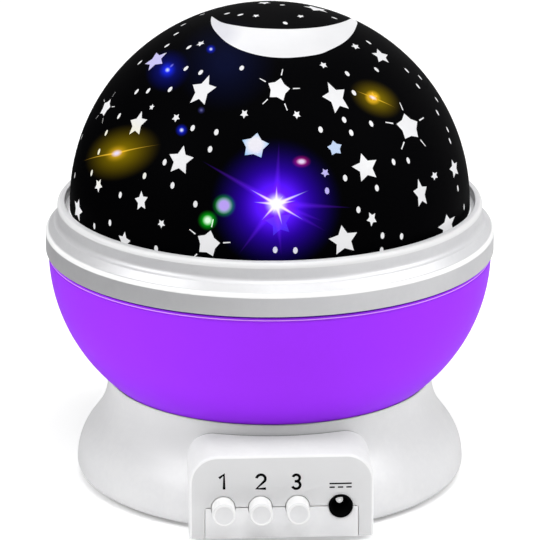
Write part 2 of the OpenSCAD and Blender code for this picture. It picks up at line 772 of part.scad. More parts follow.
module bowl_shell() {
  c = [side_x, side_z];
  low_out = asin((bowl_z - side_z) / bowl_curve);
  low_in = asin((floor_z - side_z) / (bowl_curve - bowl_wall));
  lip_r = 0.8;
  inner_r = bowl_curve - bowl_wall;
  color("blueviolet") difference() {
    rotate_extrude() polygon(concat(
      [[column_r + run_fit + bush_t + 0.05, bowl_z]],
      arc(c, bowl_curve, low_out, 0, 24),
      [[bowl_r, lip_z - lip_r]],
      arc([bowl_r - lip_r, lip_z - lip_r], lip_r, 20, 90, 4),
      [[bowl_r - bowl_wall, lip_z]],
      arc(c, inner_r, 0, low_in, 24),
      [[column_r + run_fit + bush_t + 0.05, floor_z]]
    ));
    for (a = [30, 150, 270]) rotate([0, 0, a]) translate([gear_screw_ring, 0, 0])
      cylinder(r = screw_r + 0.1, h = 40, $fn = 48);
  }
}

module bowl_bush() {
  bore = column_r + run_fit;
  color("burlywood") {
    hoop(bore + bush_t, bore, washer_z + face_gap / 2, bush_top - washer_z - face_gap / 2);
    hoop(bore + bush_t + 2, bore, floor_z, 1);
  }
}

module bowl_gear() {
  color("ivory") translate([0, 0, gear_z]) difference() {
    linear_extrude(gear_t) polygon(gear_points(gear_teeth));
    translate([0, 0, -1]) cylinder(r = column_r + run_fit + bush_t + 0.05, h = gear_t + 2);
    for (a = [30, 150, 270]) rotate([0, 0, a]) translate([gear_screw_ring, 0, 0.6])
      cylinder(r = screw_r + 0.02, h = gear_t, $fn = 48);
  }
}

module gear_screws() {
  color("silver") for (a = [30, 150, 270]) rotate([0, 0, a]) translate([gear_screw_ring, 0, floor_z])
    mirror([0, 0, 1]) screw_up(3.6);
}

// ---- Cover ----

module collar_ring() {
  edge = 0.8;
  top_edge = 1.3;
  cove = 2;
  channel_top = band_z - 2.2;
  color("whitesmoke") rotate_extrude() polygon(concat(
    [[bore_r, ring_z - 4.4], [spigot_r, ring_z - 4.4], [spigot_r, channel_top],
     [ring_r - 0.5 - band_wall, channel_top], [ring_r - 0.5 - band_wall, ring_z],
     [ring_r - 0.8, ring_z], [ring_r - 0.5, ring_z + 0.3]],
    arc([ring_r - edge, band_z - edge / 2], edge, 0, 70, 4),
    arc([cove_r + cove, band_z + 3.6], cove, 245, 180, 5),
    arc([cove_r - top_edge, ring_top - 2.4], top_edge, 0, 45, 4),
    arc([groove_r + 0.3, ring_top - 0.3], 0.3, 45, 180, 4),
    [[groove_r, dome_z - 1.2], [dome_r + 0.4, dome_z - 1.2], [dome_r + 0.4, seat_z], [bore_r, seat_z]]
  ));
}

module dome() {
  out = dome_r - mask_t - 0.1;
  flange_r = bore_r - 0.2;
  color("white", 0.6) translate([0, 0, dome_z]) difference() {
    union() {
      sphere(r = out);
      translate([0, 0, seat_z - dome_z - 0.1]) cylinder(r = out, h = dome_z - seat_z + 0.1);
      translate([0, 0, seat_z - dome_z - seat_t - 0.1]) cylinder(r = flange_r, h = seat_t);
    }
    sphere(r = out - dome_t);
    translate([0, 0, -200]) cylinder(r = out - dome_t, h = 200);
    translate([-100, -100, -200 + seat_z - dome_z - seat_t - 0.1]) cube([200, 200, 200]);
  }
}

module dome_retainer() {
  color("whitesmoke") hoop(bore_r - 0.1, dome_r - 1, seat_z - seat_t - 1.8, 1.6);
}

// Points a child that looks up along the dome's radius at heading a and height angle b
module on_dome(a, b) {
  rotate([0, 0, a]) rotate([90 - b, 0, 0]) translate([0, 0, dome_r - 6]) children();
}

module star_mask() {
  color("black") translate([0, 0, dome_z]) difference() {
    sphere(r = dome_r);
    sphere(r = dome_r - mask_t);
    translate([-100, -100, -200.9]) cube([200, 200, 200]);
    for (row = star_rows, i = [0:row[1] - 1]) {
      on_dome(row[2] + 360 * i / row[1], row[0]) linear_extrude(12) polygon(star(star_r * row[3]));
      on_dome(row[2] + 360 * (i + 0.5) / row[1], row[4]) cylinder(r = dot_r, h = 12, $fn = 24);
    }
    difference() {
      translate([0, moon_y, 30]) cylinder(r = moon_r, h = 60);
      translate([0, moon_y + moon_w, 20]) cylinder(r = moon_r, h = 80);
    }
  }
}

base_shell();
bottom_cover();
foot_ring();
case_screws();
battery_door();
battery_cells();
contact_plates();
contact_springs();
battery_lead();
switch_board();
switch_housings();
board_chips();
power_socket();
socket_pin();
button_cap_1();
button_cap_2();
button_cap_3();
button_stem_1();
button_stem_2();
button_stem_3();
motor_can();
gearbox_housing();
motor_screws();
motor_lead();
output_shaft();
drive_pinion();
lamp_column();
column_screws();
thrust_washer();
retaining_ring();
lamp_lead();
lamp_holder();
lamp_board();
led_white();
led_red();
led_green();
led_blue();
bowl_shell();
bowl_bush();
bowl_gear();
gear_screws();
collar_ring();
dome();
dome_retainer();
star_mask();
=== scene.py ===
"""Looks of the star night light projector.

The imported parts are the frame, in metres, and stay where they are. The pieces made here are
surfaces worked out with numpy in millimetres, in the same frame: +Z is up, the spin axis is the
Z axis, and the control box faces -Y. Each rides on the body of the part that it stands for or
lies on.
"""
import math

import bmesh
import bpy
import numpy as np
from mathutils import Matrix, Vector
from mathutils.geometry import delaunay_2d_cdt


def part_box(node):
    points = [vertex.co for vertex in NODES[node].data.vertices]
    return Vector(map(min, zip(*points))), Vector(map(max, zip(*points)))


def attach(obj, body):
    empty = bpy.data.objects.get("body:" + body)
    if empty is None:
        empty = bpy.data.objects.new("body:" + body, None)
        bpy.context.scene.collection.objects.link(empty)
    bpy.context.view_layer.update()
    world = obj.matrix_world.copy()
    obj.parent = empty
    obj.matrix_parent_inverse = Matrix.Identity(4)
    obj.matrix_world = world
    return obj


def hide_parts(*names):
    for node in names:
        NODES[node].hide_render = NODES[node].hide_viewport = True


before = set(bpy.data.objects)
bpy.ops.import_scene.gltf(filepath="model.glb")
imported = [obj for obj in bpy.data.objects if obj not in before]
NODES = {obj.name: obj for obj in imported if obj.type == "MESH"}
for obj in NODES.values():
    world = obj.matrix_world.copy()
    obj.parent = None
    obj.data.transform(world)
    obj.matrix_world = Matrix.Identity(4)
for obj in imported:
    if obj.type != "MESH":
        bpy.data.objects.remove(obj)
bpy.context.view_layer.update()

MM = 0.001
TURNS = 256  # points round the spin axis

# ---- Sizes, in millimetres ----


def span(part):
    """A part's lowest and highest corner in millimetres."""
    low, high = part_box(part)
    return np.array(low) / MM, np.array(high) / MM


BOWL_LOW, BOWL_HIGH = span("bowl_shell")
BASE_LOW, BASE_HIGH = span("base_shell")
RING_LOW, RING_HIGH = span("collar_ring")
DOME_LOW, DOME_HIGH = span("dome")
JACK_LOW, JACK_HIGH = span("power_socket")
PIN_LOW, PIN_HIGH = span("socket_pin")

BOWL_R = BOWL_HIGH[0]  # largest radius of the bowl
BOWL_Z = BOWL_LOW[2]  # its underside
LIP_Z = BOWL_HIGH[2]  # its lip
BOWL_WALL = 2.0
BOWL_HOLE_R = 8.3  # hole for the bush in its floor
SIDE_R = 49.4  # curve of its side, in section
SIDE = (BOWL_R - SIDE_R, LIP_Z - 0.45)
DISH_GAP = 0.6  # between it and the dish that it turns in
RIM_GAP = 0.18  # and at the dish's rim
DISH_IN_R = 43.0  # where the dish starts on the deck

NECK_R = 47.7  # neck of the base, just below the rim
RIM_Z = BOWL_Z + 2.7
FLARE_R = BASE_HIGH[0]  # widest level of the base
HIP_R = 17.8  # curve above the widest level
HIP = (FLARE_R - HIP_R, 4.0)
LEAN = 34.2  # lean of the flank, in degrees
WAIST_R = 19.6  # curve up to the neck
WAIST = (NECK_R + WAIST_R, RIM_Z - 1)
ROLL_R = 3.0  # curve under the widest level
DECK_Z = 23.6  # top of the floor under the bowl
SHELL_T = 2.0  # thickness of the base's walls
COLUMN_HOLE_R = 7.1
OPEN_Z = 18.8  # how far up the bell is open behind the control box

BOX_HALF = 26.1  # half the width of the control box
BOX_FRONT = BASE_LOW[1]  # its front face
BOX_TOP = 26.0  # its height at the front
BOX_BACK = -38.0
BOX_SLOPE = 0.09  # rise of its top towards the back
BOX_CORNER = 8.0  # round of its upper corners
BOX_EDGE = 0.8  # round of its front edge
BOX_SAG = 1.5  # how much lower the top's sides are than its middle at the back
BOX_FOOT = 1.4  # its lower edge
TAB_HALF = 21.7  # the bottom cover's front tab
NOTCH_PLAY = 0.1  # between it and the notch that it closes
ROW_Z = 10.5  # level of the buttons and the socket
BUTTON_R = 3.3
BUTTON_XS = [float(np.mean(span(f"button_cap_{k}"), 0)[0]) for k in (1, 2, 3)]
BUTTON_TIP = span("button_cap_1")[0][1]
JACK_X = (JACK_LOW[0] + JACK_HIGH[0]) / 2
JACK_R = 3.35  # outer radius of the inlet
PLUG_R = 2.85  # radius of its mouth
PIN_SHY = 1.2  # how far the pin's round end stands behind the rod's in the frame
ROW = [(x, BUTTON_R + 0.2) for x in BUTTON_XS] + [(JACK_X, JACK_R + 0.1)]  # its round holes

RING_FOOT = 68.6  # lower edge of the ring's band
BAND_Z = 75.7  # its upper edge
RING_R = 65.3  # outer radius of the band
RING_TOP = RING_HIGH[2]
GROOVE_R = 59.6  # inner face of the ring's lip
COVE_R = 61.8  # the wall that rises from the shoulder to the lip
SPIGOT_R = 61.5  # the part that stands in the bowl
BORE_R = 60.3

DOME_Z = 82.2  # centre of the dome
DOME_R = 58.2
SKIRT_Z = span("star_mask")[0][2]  # lower edge of the print
DOME_MID = np.array([0.0, 0.0, DOME_Z])

# ---- Camera ----
# The view is a frame of 540 by 540 points; the spin axis stands at AXIS_PX across it.

FRAME_PX = 540
AXIS_PX = 269.8
VIEW_TURN = 3.2  # the camera stands this far round towards -X, in degrees
VIEW_RISE = 18.2  # and this far above the horizon
VIEW_FAR = 1285.0  # from the eye to the point on the spin axis that it is aimed at
DOME_FAR = 0.985 * VIEW_FAR  # how far away the seen side of the dome is, on the whole
AIM_Z = 61.1  # height of that point
FOCAL_PX = 4393.0  # focal length in frame points
SENSOR = 36.0


def view_axes():
    """Unit vectors to the right, upwards and forwards as the camera sees them."""
    turn, rise = math.radians(VIEW_TURN), math.radians(VIEW_RISE)
    back = np.array([-math.sin(turn) * math.cos(rise), -math.cos(turn) * math.cos(rise), math.sin(rise)])
    right = np.array([math.cos(turn), -math.sin(turn), 0.0])
    return right, np.cross(back, right), -back


RIGHT, UP, AHEAD = view_axes()
EYE = np.array([0.0, 0.0, AIM_Z]) - AHEAD * VIEW_FAR


def add_object(name, data):
    """A new object of the scene."""
    made = bpy.data.objects.new(name, data)
    bpy.context.scene.collection.objects.link(made)
    return made


def make_camera():
    """The camera at EYE, looking along AHEAD, with the spin axis at AXIS_PX."""
    lens = bpy.data.cameras.new("camera")
    lens.lens = FOCAL_PX / FRAME_PX * SENSOR
    lens.sensor_width = SENSOR
    lens.shift_x = (FRAME_PX / 2 - AXIS_PX) / FRAME_PX
    lens.clip_start, lens.clip_end = 0.05, 50.0
    camera = add_object("camera", lens)
    camera.matrix_world = Matrix.Translation(Vector(EYE * MM)) @ Matrix(
        np.stack([RIGHT, UP, -AHEAD], 1).tolist()).to_4x4()
    bpy.context.scene.camera = camera


def rays(px):
    """Ways from the eye through frame points px."""
    px = np.atleast_2d(np.asarray(px, float))
    return (AHEAD + (px[:, :1] - AXIS_PX) / FOCAL_PX * RIGHT
            + (FRAME_PX / 2 - px[:, 1:]) / FOCAL_PX * UP)


def on_dome(px):
    """Points of the dome under frame points px. A ray from the eye that passes the centre at less
    than the radius meets the dome on its near side, the root of radius squared less that distance
    squared before the nearest place. One that misses wraps to the far side: it turns on from the
    rim by the root of twice the miss over the radius."""
    ray = rays(px)
    ray /= np.linalg.norm(ray, axis=1, keepdims=True)
    nearest = EYE - DOME_MID - ray * (ray @ (EYE - DOME_MID))[:, None]
    miss = np.linalg.norm(nearest, axis=1, keepdims=True)
    hit = nearest - ray * np.sqrt(np.maximum(DOME_R ** 2 - miss ** 2, 0.0))
    turn = np.sqrt(2 * np.maximum(miss / DOME_R - 1, 0.0))
    wrapped = DOME_R * (np.cos(turn) * nearest / miss + np.sin(turn) * ray)
    return DOME_MID + np.where(miss < DOME_R, hit, wrapped)


# ---- Outlines and surfaces ----


def arc(centre, radius, start, end, step):
    """Points of a circle between two angles in degrees, one every `step` degrees or closer."""
    count = max(2, int(math.ceil(abs(end - start) / step)) + 1)
    a = np.radians(np.linspace(start, end, count))
    return np.stack([centre[0] + radius * np.cos(a), centre[1] + radius * np.sin(a)], 1)


def through(points):
    """A smooth open line through points. Between two of them it is the cubic whose slope at each end
    is half the way from the point before to the point after."""
    steps = 6
    p = np.asarray(points, float)
    p = np.concatenate([2 * p[:1] - p[1:2], p, 2 * p[-1:] - p[-2:-1]])
    a, b, c, d = p[:-3, None], p[1:-2, None], p[2:-1, None], p[3:, None]
    t = np.linspace(0, 1, steps, endpoint=False)[None, :, None]
    line = b + ((c - a) * t + (2 * a - 5 * b + 4 * c - d) * t ** 2 + (3 * b - a - 3 * c + d) * t ** 3) / 2
    return np.concatenate([line.reshape(-1, 2), p[-2:-1]])


def grid_faces(rows, cols, wrap_rows=False, wrap_cols=False):
    """Four-sided faces of a grid of points that is stored row by row."""
    i = np.arange(rows if wrap_rows else rows - 1)[:, None]
    j = np.arange(cols if wrap_cols else cols - 1)[None, :]
    i2, j2 = (i + 1) % rows, (j + 1) % cols
    return np.stack([i * cols + j, i2 * cols + j, i2 * cols + j2, i * cols + j2], -1).reshape(-1, 4)


def turned(outline, turns=TURNS):
    """A closed outline of (radius, height) points carried round the Z axis: grid point (i, j) is
    outline point j turned by i parts of a full turn. Points on the axis meet in one."""
    r, z = np.asarray(outline, float).T
    a = 2 * np.pi * np.arange(turns) / turns
    points = np.stack([np.outer(np.sin(a), r), -np.outer(np.cos(a), r),
                       np.broadcast_to(z, (turns, len(r)))], -1)
    return points.reshape(-1, 3), grid_faces(turns, len(r), True, True).tolist()


def facing_front(shell, x, y, z):
    """A shape turned about Z set so that its axis points to the front, with its origin at x, y, z."""
    points, faces = shell
    return np.stack([x + points[:, 0], y - points[:, 2], z + points[:, 1]], 1), faces


def standing(flat, y):
    """Points (across, height) stood up in the plane at a place y."""
    return np.stack([flat[:, 0], np.full(len(flat), y), flat[:, 1]], 1)


def joined(*shells):
    """Several shapes as one set of points and faces."""
    points, faces, start = [], [], 0
    for p, f in shells:
        points.append(p)
        faces += [[start + k for k in face] for face in f]
        start += len(p)
    return np.concatenate(points), faces


def make_piece(name, shell, finish, body, stands_for=(), crease=32.0):
    """Puts points and faces in a mesh, merges what coincides, turns the faces outwards, smooths
    what bends less than `crease` degrees, and sets the piece on its body."""
    points, faces = shell
    mesh = bpy.data.meshes.new(name)
    mesh.from_pydata((np.asarray(points) * MM).tolist(), [], faces)
    work = bmesh.new()
    work.from_mesh(mesh)
    bmesh.ops.remove_doubles(work, verts=work.verts, dist=2e-7)
    bmesh.ops.recalc_face_normals(work, faces=work.faces)
    work.to_mesh(mesh)
    work.free()
    mesh.polygons.foreach_set("use_smooth", np.ones(len(mesh.polygons), bool))
    mesh.set_sharp_from_angle(angle=math.radians(crease))
    mesh.materials.append(finish)
    piece = add_object(name, mesh)
    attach(piece, body)
    if stands_for:
        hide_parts(*stands_for)
    return piece


# ---- Shader node helpers ----


def wire(tree, kind, inputs=None, **settings):
    """Adds a shader node with its settings, and joins or sets its inputs."""
    made = tree.nodes.new("ShaderNode" + kind)
    for key, value in settings.items():
        setattr(made, key, value)
    for key, value in (inputs or {}).items():
        if isinstance(value, bpy.types.NodeSocket):
            tree.links.new(value, made.inputs[key])
        else:
            made.inputs[key].default_value = value
    return made


def maths(tree, operation, *values):
    """One step of arithmetic with numbers."""
    return wire(tree, "Math", dict(enumerate(values)), operation=operation).outputs[0]


def vectors(tree, operation, *values):
    """One step of arithmetic with vectors."""
    made = wire(tree, "VectorMath", dict(enumerate(values)), operation=operation)
    return made.outputs["Value" if operation in ("DOT_PRODUCT", "LENGTH") else "Vector"]


def blend(tree, share, low, high, mode="MIX"):
    """Mixes two colours by a share."""
    return wire(tree, "Mix", {0: share, 6: low, 7: high}, data_type="RGBA", blend_type=mode).outputs[2]


def ramp(tree, share, low, high, kind="SMOOTHSTEP"):
    """0 below `low`, 1 above `high`, and a smooth rise between them."""
    return wire(tree, "MapRange", {"Value": share, "From Min": low, "From Max": high},
                interpolation_type=kind).outputs[0]


def effect(name, inputs, outputs):
    """An empty shader node group with named sockets, given as {name: starting value}."""
    group = bpy.data.node_groups.new(name, "ShaderNodeTree")
    kinds = {float: "NodeSocketFloat", 3: "NodeSocketVector", 4: "NodeSocketColor"}
    for way, sockets in (("INPUT", inputs), ("OUTPUT", outputs)):
        for label, value in sockets.items():
            kind = kinds[float if isinstance(value, float) else len(value)]
            socket = group.interface.new_socket(label, in_out=way, socket_type=kind)
            if way == "INPUT":
                socket.default_value = value
    return group, group.nodes.new("NodeGroupInput").outputs, group.nodes.new("NodeGroupOutput").inputs


def place(tree, group, inputs=None):
    """Puts a shader node group in a node tree."""
    return wire(tree, "Group", inputs, node_tree=group).outputs


def object_place(tree):
    """The place on the object itself, in metres."""
    return wire(tree, "TexCoord").outputs["Object"]


def object_along(tree, axis):
    """That place along one axis."""
    return wire(tree, "SeparateXYZ", {"Vector": object_place(tree)}).outputs[axis]


def noise(tree, scale, detail, at=None):
    """Cloudy noise over the object, or over the vectors `at`."""
    at = object_place(tree) if at is None else at
    return wire(tree, "TexNoise", {"Vector": at, "Scale": scale, "Detail": detail}).outputs[0]


def fade(tree, way, reach):
    """1 where a way starts, sinking evenly to 0 at its reach, and held between the two."""
    left = maths(tree, "SUBTRACT", 1.0, maths(tree, "DIVIDE", way, reach))
    return maths(tree, "MINIMUM", maths(tree, "MAXIMUM", left, 0.0), 1.0)


def relief(tree, height, strength, depth):
    """The bump that a height makes when 1 is `depth` millimetres."""
    return wire(tree, "Bump", {
        "Height": height, "Strength": strength, "Distance": depth * MM}).outputs[0]


# ---- Effects that several finishes share ----


def make_tone():
    """Colour that drifts a little: a broad cloud and a fine one darken the base tone."""
    group, given, result = effect("tone_drift", {
        "Tone": (1.0, 1.0, 1.0, 1.0), "Drift": 0.04, "Scale": 40.0}, {"Color": (1.0,) * 4})
    broad = noise(group, given["Scale"], 2.0)
    fine = noise(group, maths(group, "MULTIPLY", given["Scale"], 14.0), 3.0)
    both = maths(group, "MULTIPLY_ADD", broad, 0.7, maths(group, "MULTIPLY", fine, 0.3))
    dark = blend(group, 1.0, given["Tone"], (0.86, 0.86, 0.88, 1.0), "MULTIPLY")
    amount = maths(group, "MULTIPLY", given["Drift"], 10.0)
    share = maths(group, "MULTIPLY", ramp(group, both, 0.38, 0.62), amount)
    group.links.new(blend(group, share, given["Tone"], dark), result["Color"])
    return group


def make_grain():
    """Height of a moulded skin: fine spark-eroded grain over a slow ripple."""
    group, given, result = effect("moulded_grain", {"Scale": 2600.0, "Ripple": 0.35}, {"Height": 0.0})
    grain, ripple = noise(group, given["Scale"], 2.0), noise(group, 55.0, 1.0)
    group.links.new(maths(group, "MULTIPLY_ADD", ripple, given["Ripple"], grain), result["Height"])
    return group


def make_handling():
    """Roughness of a handled surface: cloudy patches and a few fine rub marks drawn out sideways."""
    group, given, result = effect(
        "handling", {"Rough": 0.3, "Change": 0.1, "Scale": 60.0}, {"Roughness": 0.0})
    cloud = noise(group, given["Scale"], 4.0)
    drawn = vectors(group, "MULTIPLY", object_place(group), (60.0, 60.0, 900.0))
    rubs = noise(group, 1.0, 2.0, drawn)
    scratch = maths(group, "MULTIPLY", ramp(group, rubs, 0.66, 0.72), 0.25)
    swing = maths(group, "ADD", maths(group, "SUBTRACT", cloud, 0.5), scratch)
    group.links.new(maths(group, "MULTIPLY_ADD", swing, given["Change"], given["Rough"]),
                    result["Roughness"])
    return group


def make_band():
    """1 where a value lies between two limits, and 0 outside them, with soft edges."""
    group, given, result = effect(
        "band", {"Value": 0.0, "Low": 0.0, "High": 1.0, "Soft": 0.0001}, {"Mask": 0.0})
    edges = []
    for edge in ("Low", "High"):
        low = maths(group, "SUBTRACT", given[edge], given["Soft"])
        high = maths(group, "ADD", given[edge], given["Soft"])
        edges.append(ramp(group, given["Value"], low, high))
    group.links.new(maths(group, "SUBTRACT", *edges), result["Mask"])
    return group


def make_light_spot():
    """A round light: full inside its core, then fading as a power of what is left to its reach."""
    group, given, result = effect("light_spot", {
        "Offset": (0.0, 0.0, 0.0), "Core": 0.001, "Reach": 0.01, "Fall": 2.2}, {"Mask": 0.0})
    away = maths(group, "SUBTRACT", vectors(group, "LENGTH", given["Offset"]), given["Core"])
    room = maths(group, "SUBTRACT", given["Reach"], given["Core"])
    group.links.new(maths(group, "POWER", fade(group, away, room), given["Fall"]), result["Mask"])
    return group


def make_light_ray():
    """A ray of light from a centre along a direction: it narrows and fades towards its tip."""
    group, given, result = effect("light_ray", {
        "Centre": (0.0, 0.0, 0.0), "Along": (1.0, 0.0, 0.0), "Across": (0.0, 0.0, 1.0),
        "Length": 0.01, "Width": 0.0005}, {"Mask": 0.0})
    offset = vectors(group, "SUBTRACT", object_place(group), given["Centre"])
    along = vectors(group, "DOT_PRODUCT", offset, given["Along"])
    across = maths(group, "ABSOLUTE", vectors(group, "DOT_PRODUCT", offset, given["Across"]))
    held = fade(group, along, given["Length"])
    width = maths(group, "MAXIMUM", maths(group, "MULTIPLY", given["Width"], held), 0.00001)
    ahead = maths(group, "GREATER_THAN", along, 0.0)
    side = maths(group, "MULTIPLY", fade(group, across, width), ahead)
    group.links.new(maths(group, "MULTIPLY", side, held), result["Mask"])
    return group


TONE, GRAIN, HANDLING = make_tone(), make_grain(), make_handling()
BAND, LIGHT_SPOT, LIGHT_RAY = make_band(), make_light_spot(), make_light_ray()

# ---- Finishes ----


def tint(*rgb):
    """A display colour, 0 to 255, as linear light."""
    c = np.array(rgb, float) / 255
    return (*np.where(c <= 0.04045, c / 12.92, ((c + 0.055) / 1.055) ** 2.4).tolist(), 1.0)


def new_finish(name, **uniform):
    """A material with a Principled surface whose even values are set on its own sockets."""
    material = bpy.data.materials.new(name)
    material.use_nodes = True
    surface = material.node_tree.nodes["Principled BSDF"]
    for label, value in uniform.items():
        surface.inputs[label.replace("_", " ")].default_value = value
    return material, material.node_tree, surface


def lay(tree, surface, **sockets):
    """Joins sockets to a surface's inputs."""
    for label, socket in sockets.items():
        tree.links.new(socket, surface.inputs[label.replace("_", " ")])


def between(tree, value, low, high, soft):
    """Mask of a band of a value: low, high and soft in mm."""
    return place(tree, BAND, {
        "Value": value, "Low": low * MM, "High": high * MM, "Soft": soft * MM})["Mask"]


def moulded(name, tone, rough, shine=0.5, drift=0.03, grain=0.012, scale=40.0, bands=(), **uniform):
    """Moulded plastic: a drifting tone, handled roughness and a fine grain. Bands lie over the tone,
    each with the object axis that it is measured along, low, high and soft in mm, and its tone."""
    material, tree, surface = new_finish(name, Specular_IOR_Level=shine, **uniform)
    colour = place(tree, TONE, {"Tone": tone, "Drift": drift, "Scale": scale})["Color"]
    for axis, low, high, soft, other in bands:
        colour = blend(tree, between(tree, object_along(tree, axis), low, high, soft), colour, other)
    lay(tree, surface, Base_Color=colour,
        Roughness=place(tree, HANDLING, {"Rough": rough, "Change": 0.12})["Roughness"],
        Normal=relief(tree, place(tree, GRAIN)["Height"], 0.6, grain))
    return material


def metal(name, tone, rough=0.25, **uniform):
    """Bare metal with fine drawn lines and dull patches."""
    material, tree, surface = new_finish(name, Metallic=1.0, **uniform)
    drawn = vectors(tree, "MULTIPLY", object_place(tree), (1.0, 1.0, 30.0))
    lay(tree, surface,
        Base_Color=place(tree, TONE, {"Tone": tone, "Drift": 0.08, "Scale": 150.0})["Color"],
        Roughness=place(tree, HANDLING, {"Rough": rough, "Change": 0.3, "Scale": 200.0})["Roughness"],
        Normal=relief(tree, noise(tree, 900.0, 3.0, drawn), 0.5, 0.01))
    return material


def own_colour(material):
    """A finish's node tree, its surface, and what feeds its colour."""
    surface = material.node_tree.nodes["Principled BSDF"]
    return material.node_tree, surface, surface.inputs["Base Color"].links[0].from_socket


def coloured_bowl():
    """The bowl's purple plastic, with painted shade that makes it deeper towards its foot and darker in the
    gap under the ring, and a painted highlight as a light line on the bead below it. What it throws on the
    white parts beside it is nearly grey."""
    material = moulded("purple_bowl", tint(159, 52, 252), rough=0.4, shine=0.02, drift=0.012, bands=[
        # painted shade: darker towards the foot
        ("Z", BOWL_Z - 20, BOWL_Z + 6, 14, tint(139, 34, 240)),
        # painted shade in the gap under the ring
        ("Z", LIP_Z - 0.35, LIP_Z + 1, 0.1, tint(100, 20, 185)),
        # painted highlight: a light line on the bead below the gap
        ("Z", LIP_Z - 1.12, LIP_Z - 0.86, 0.06, tint(228, 165, 255))])
    tree, surface, colour = own_colour(material)
    ray = wire(tree, "LightPath").outputs
    thrown = maths(tree, "ADD", ray["Is Diffuse Ray"], ray["Is Glossy Ray"])
    lay(tree, surface, Base_Color=blend(tree, thrown, colour, (0.4, 0.38, 0.43, 1.0)))
    return material


def silver_ring():
    """The ring's satin silver plastic, brightest on the band; the white along the upper edges of the band
    and of the lip is painted highlight."""
    foot, soft = 60.0, 0.12
    edge_highlight_low, edge_highlight_high = 74.15, 75.35
    lip_highlight_low, lip_highlight_high = 81.75, 83.3
    material = moulded("silver_white_ring", tint(214, 214, 216), rough=0.46, bands=[
        # painted highlight along the band's upper edge
        ("Z", edge_highlight_low, edge_highlight_high, soft, tint(245, 245, 245)),
        # painted highlight along the lip's upper edge
        ("Z", lip_highlight_low, lip_highlight_high, soft, tint(226, 226, 227))])
    tree, surface, _ = own_colour(material)
    height = object_along(tree, "Z")
    bright = maths(tree, "MULTIPLY", between(tree, height, foot, edge_highlight_low, soft), 0.6)
    duller = maths(tree, "MULTIPLY", between(tree, height, edge_highlight_high, lip_highlight_low, soft), 0.36)
    lay(tree, surface, Metallic=maths(tree, "ADD", bright, duller))
    return material


def box_white():
    """The control box's white: painted shade makes the front face greyer, a painted highlight lies as a
    light line along its edge, and painted shade makes a dark line in the crease against the neck."""
    material = moulded("white_box", tint(241, 241, 242), rough=0.4, shine=0.3, bands=[
        # painted highlight along the front edge
        ("Y", BOX_FRONT + 0.03, BOX_FRONT + 0.22, 0.04, PAINTED_HIGHLIGHT),
        # painted shade: the greyer front face
        ("Y", BOX_FRONT - 1, BOX_FRONT + 0.02, 0.01, tint(218, 218, 219))])
    tree, surface, colour = own_colour(material)
    out = vectors(tree, "LENGTH", vectors(tree, "MULTIPLY", object_place(tree), (1.0, 1.0, 0.0)))
    # painted shade where the box top meets the neck
    crease_shade = between(tree, out, NECK_R - 1, NECK_R + 0.35, 0.15)
    lay(tree, surface, Base_Color=blend(tree, crease_shade, colour, tint(120, 120, 122)))
    return material


def lamp_finish(name, tone, glow):
    """Clear epoxy of a lamp: tinted, glossy, and lit from inside, brighter at its round top."""
    foot, top = 68 * MM, 75 * MM
    material, tree, surface = new_finish(
        name, Roughness=0.1, Transmission_Weight=0.4, IOR=1.5, Emission_Strength=3.0)
    lit = ramp(tree, object_along(tree, "Z"), foot, top)
    lay(tree, surface,
        Base_Color=place(tree, TONE, {"Tone": tone, "Drift": 0.05, "Scale": 300.0})["Color"],
        Emission_Color=blend(tree, lit, (0.0, 0.0, 0.0, 1.0), glow))
    return material


def dress(finish, *parts):
    """Gives a finish to parts of the frame."""
    for part in parts:
        NODES[part].data.materials.clear()
        NODES[part].data.materials.append(finish)


# White of painted highlights: on the box's front edge, the buttons' rims and the buttons' drums.
PAINTED_HIGHLIGHT = tint(238, 238, 238)
WHITE_SHELL = moulded("white_shell", tint(228, 228, 229), rough=0.36, shine=0.38)
BOX_WHITE = box_white()
WHITE_RING = silver_ring()
# Buttons: painted highlight makes the rim of the face and the drum lighter than the face.
WHITE_BUTTON = moulded("white_button", tint(225, 225, 226), rough=0.36, shine=0.35, bands=[
    ("Y", BUTTON_TIP - 1, BUTTON_TIP + 0.1, 0.03, PAINTED_HIGHLIGHT),  # rim of the round face
    ("Y", BUTTON_TIP + 0.5, BUTTON_TIP + 9, 0.05, PAINTED_HIGHLIGHT)])  # the drum behind it
COVER_GREY = moulded("cover_plastic", tint(232, 232, 233), rough=0.36, shine=0.35)
PURPLE = coloured_bowl()
INK = moulded("black_ink", tint(5, 5, 6), rough=0.5, shine=0.05)
JACK_BLACK = moulded("jack_black", tint(5, 5, 6), rough=0.55, shine=0.01)
# The pin's emission is a painted glint: it gives off light though it is no lamp.
GLINTING_PIN_STEEL = metal("pin_steel_painted_glint", tint(240, 240, 240), rough=0.35,
                  Emission_Color=tint(235, 235, 235), Emission_Strength=0.7)
BLACK_PLASTIC = moulded("black_plastic", tint(14, 14, 15), rough=0.4, shine=0.3)
DARK_PLASTIC = moulded("dark_plastic", tint(48, 48, 50), rough=0.4)

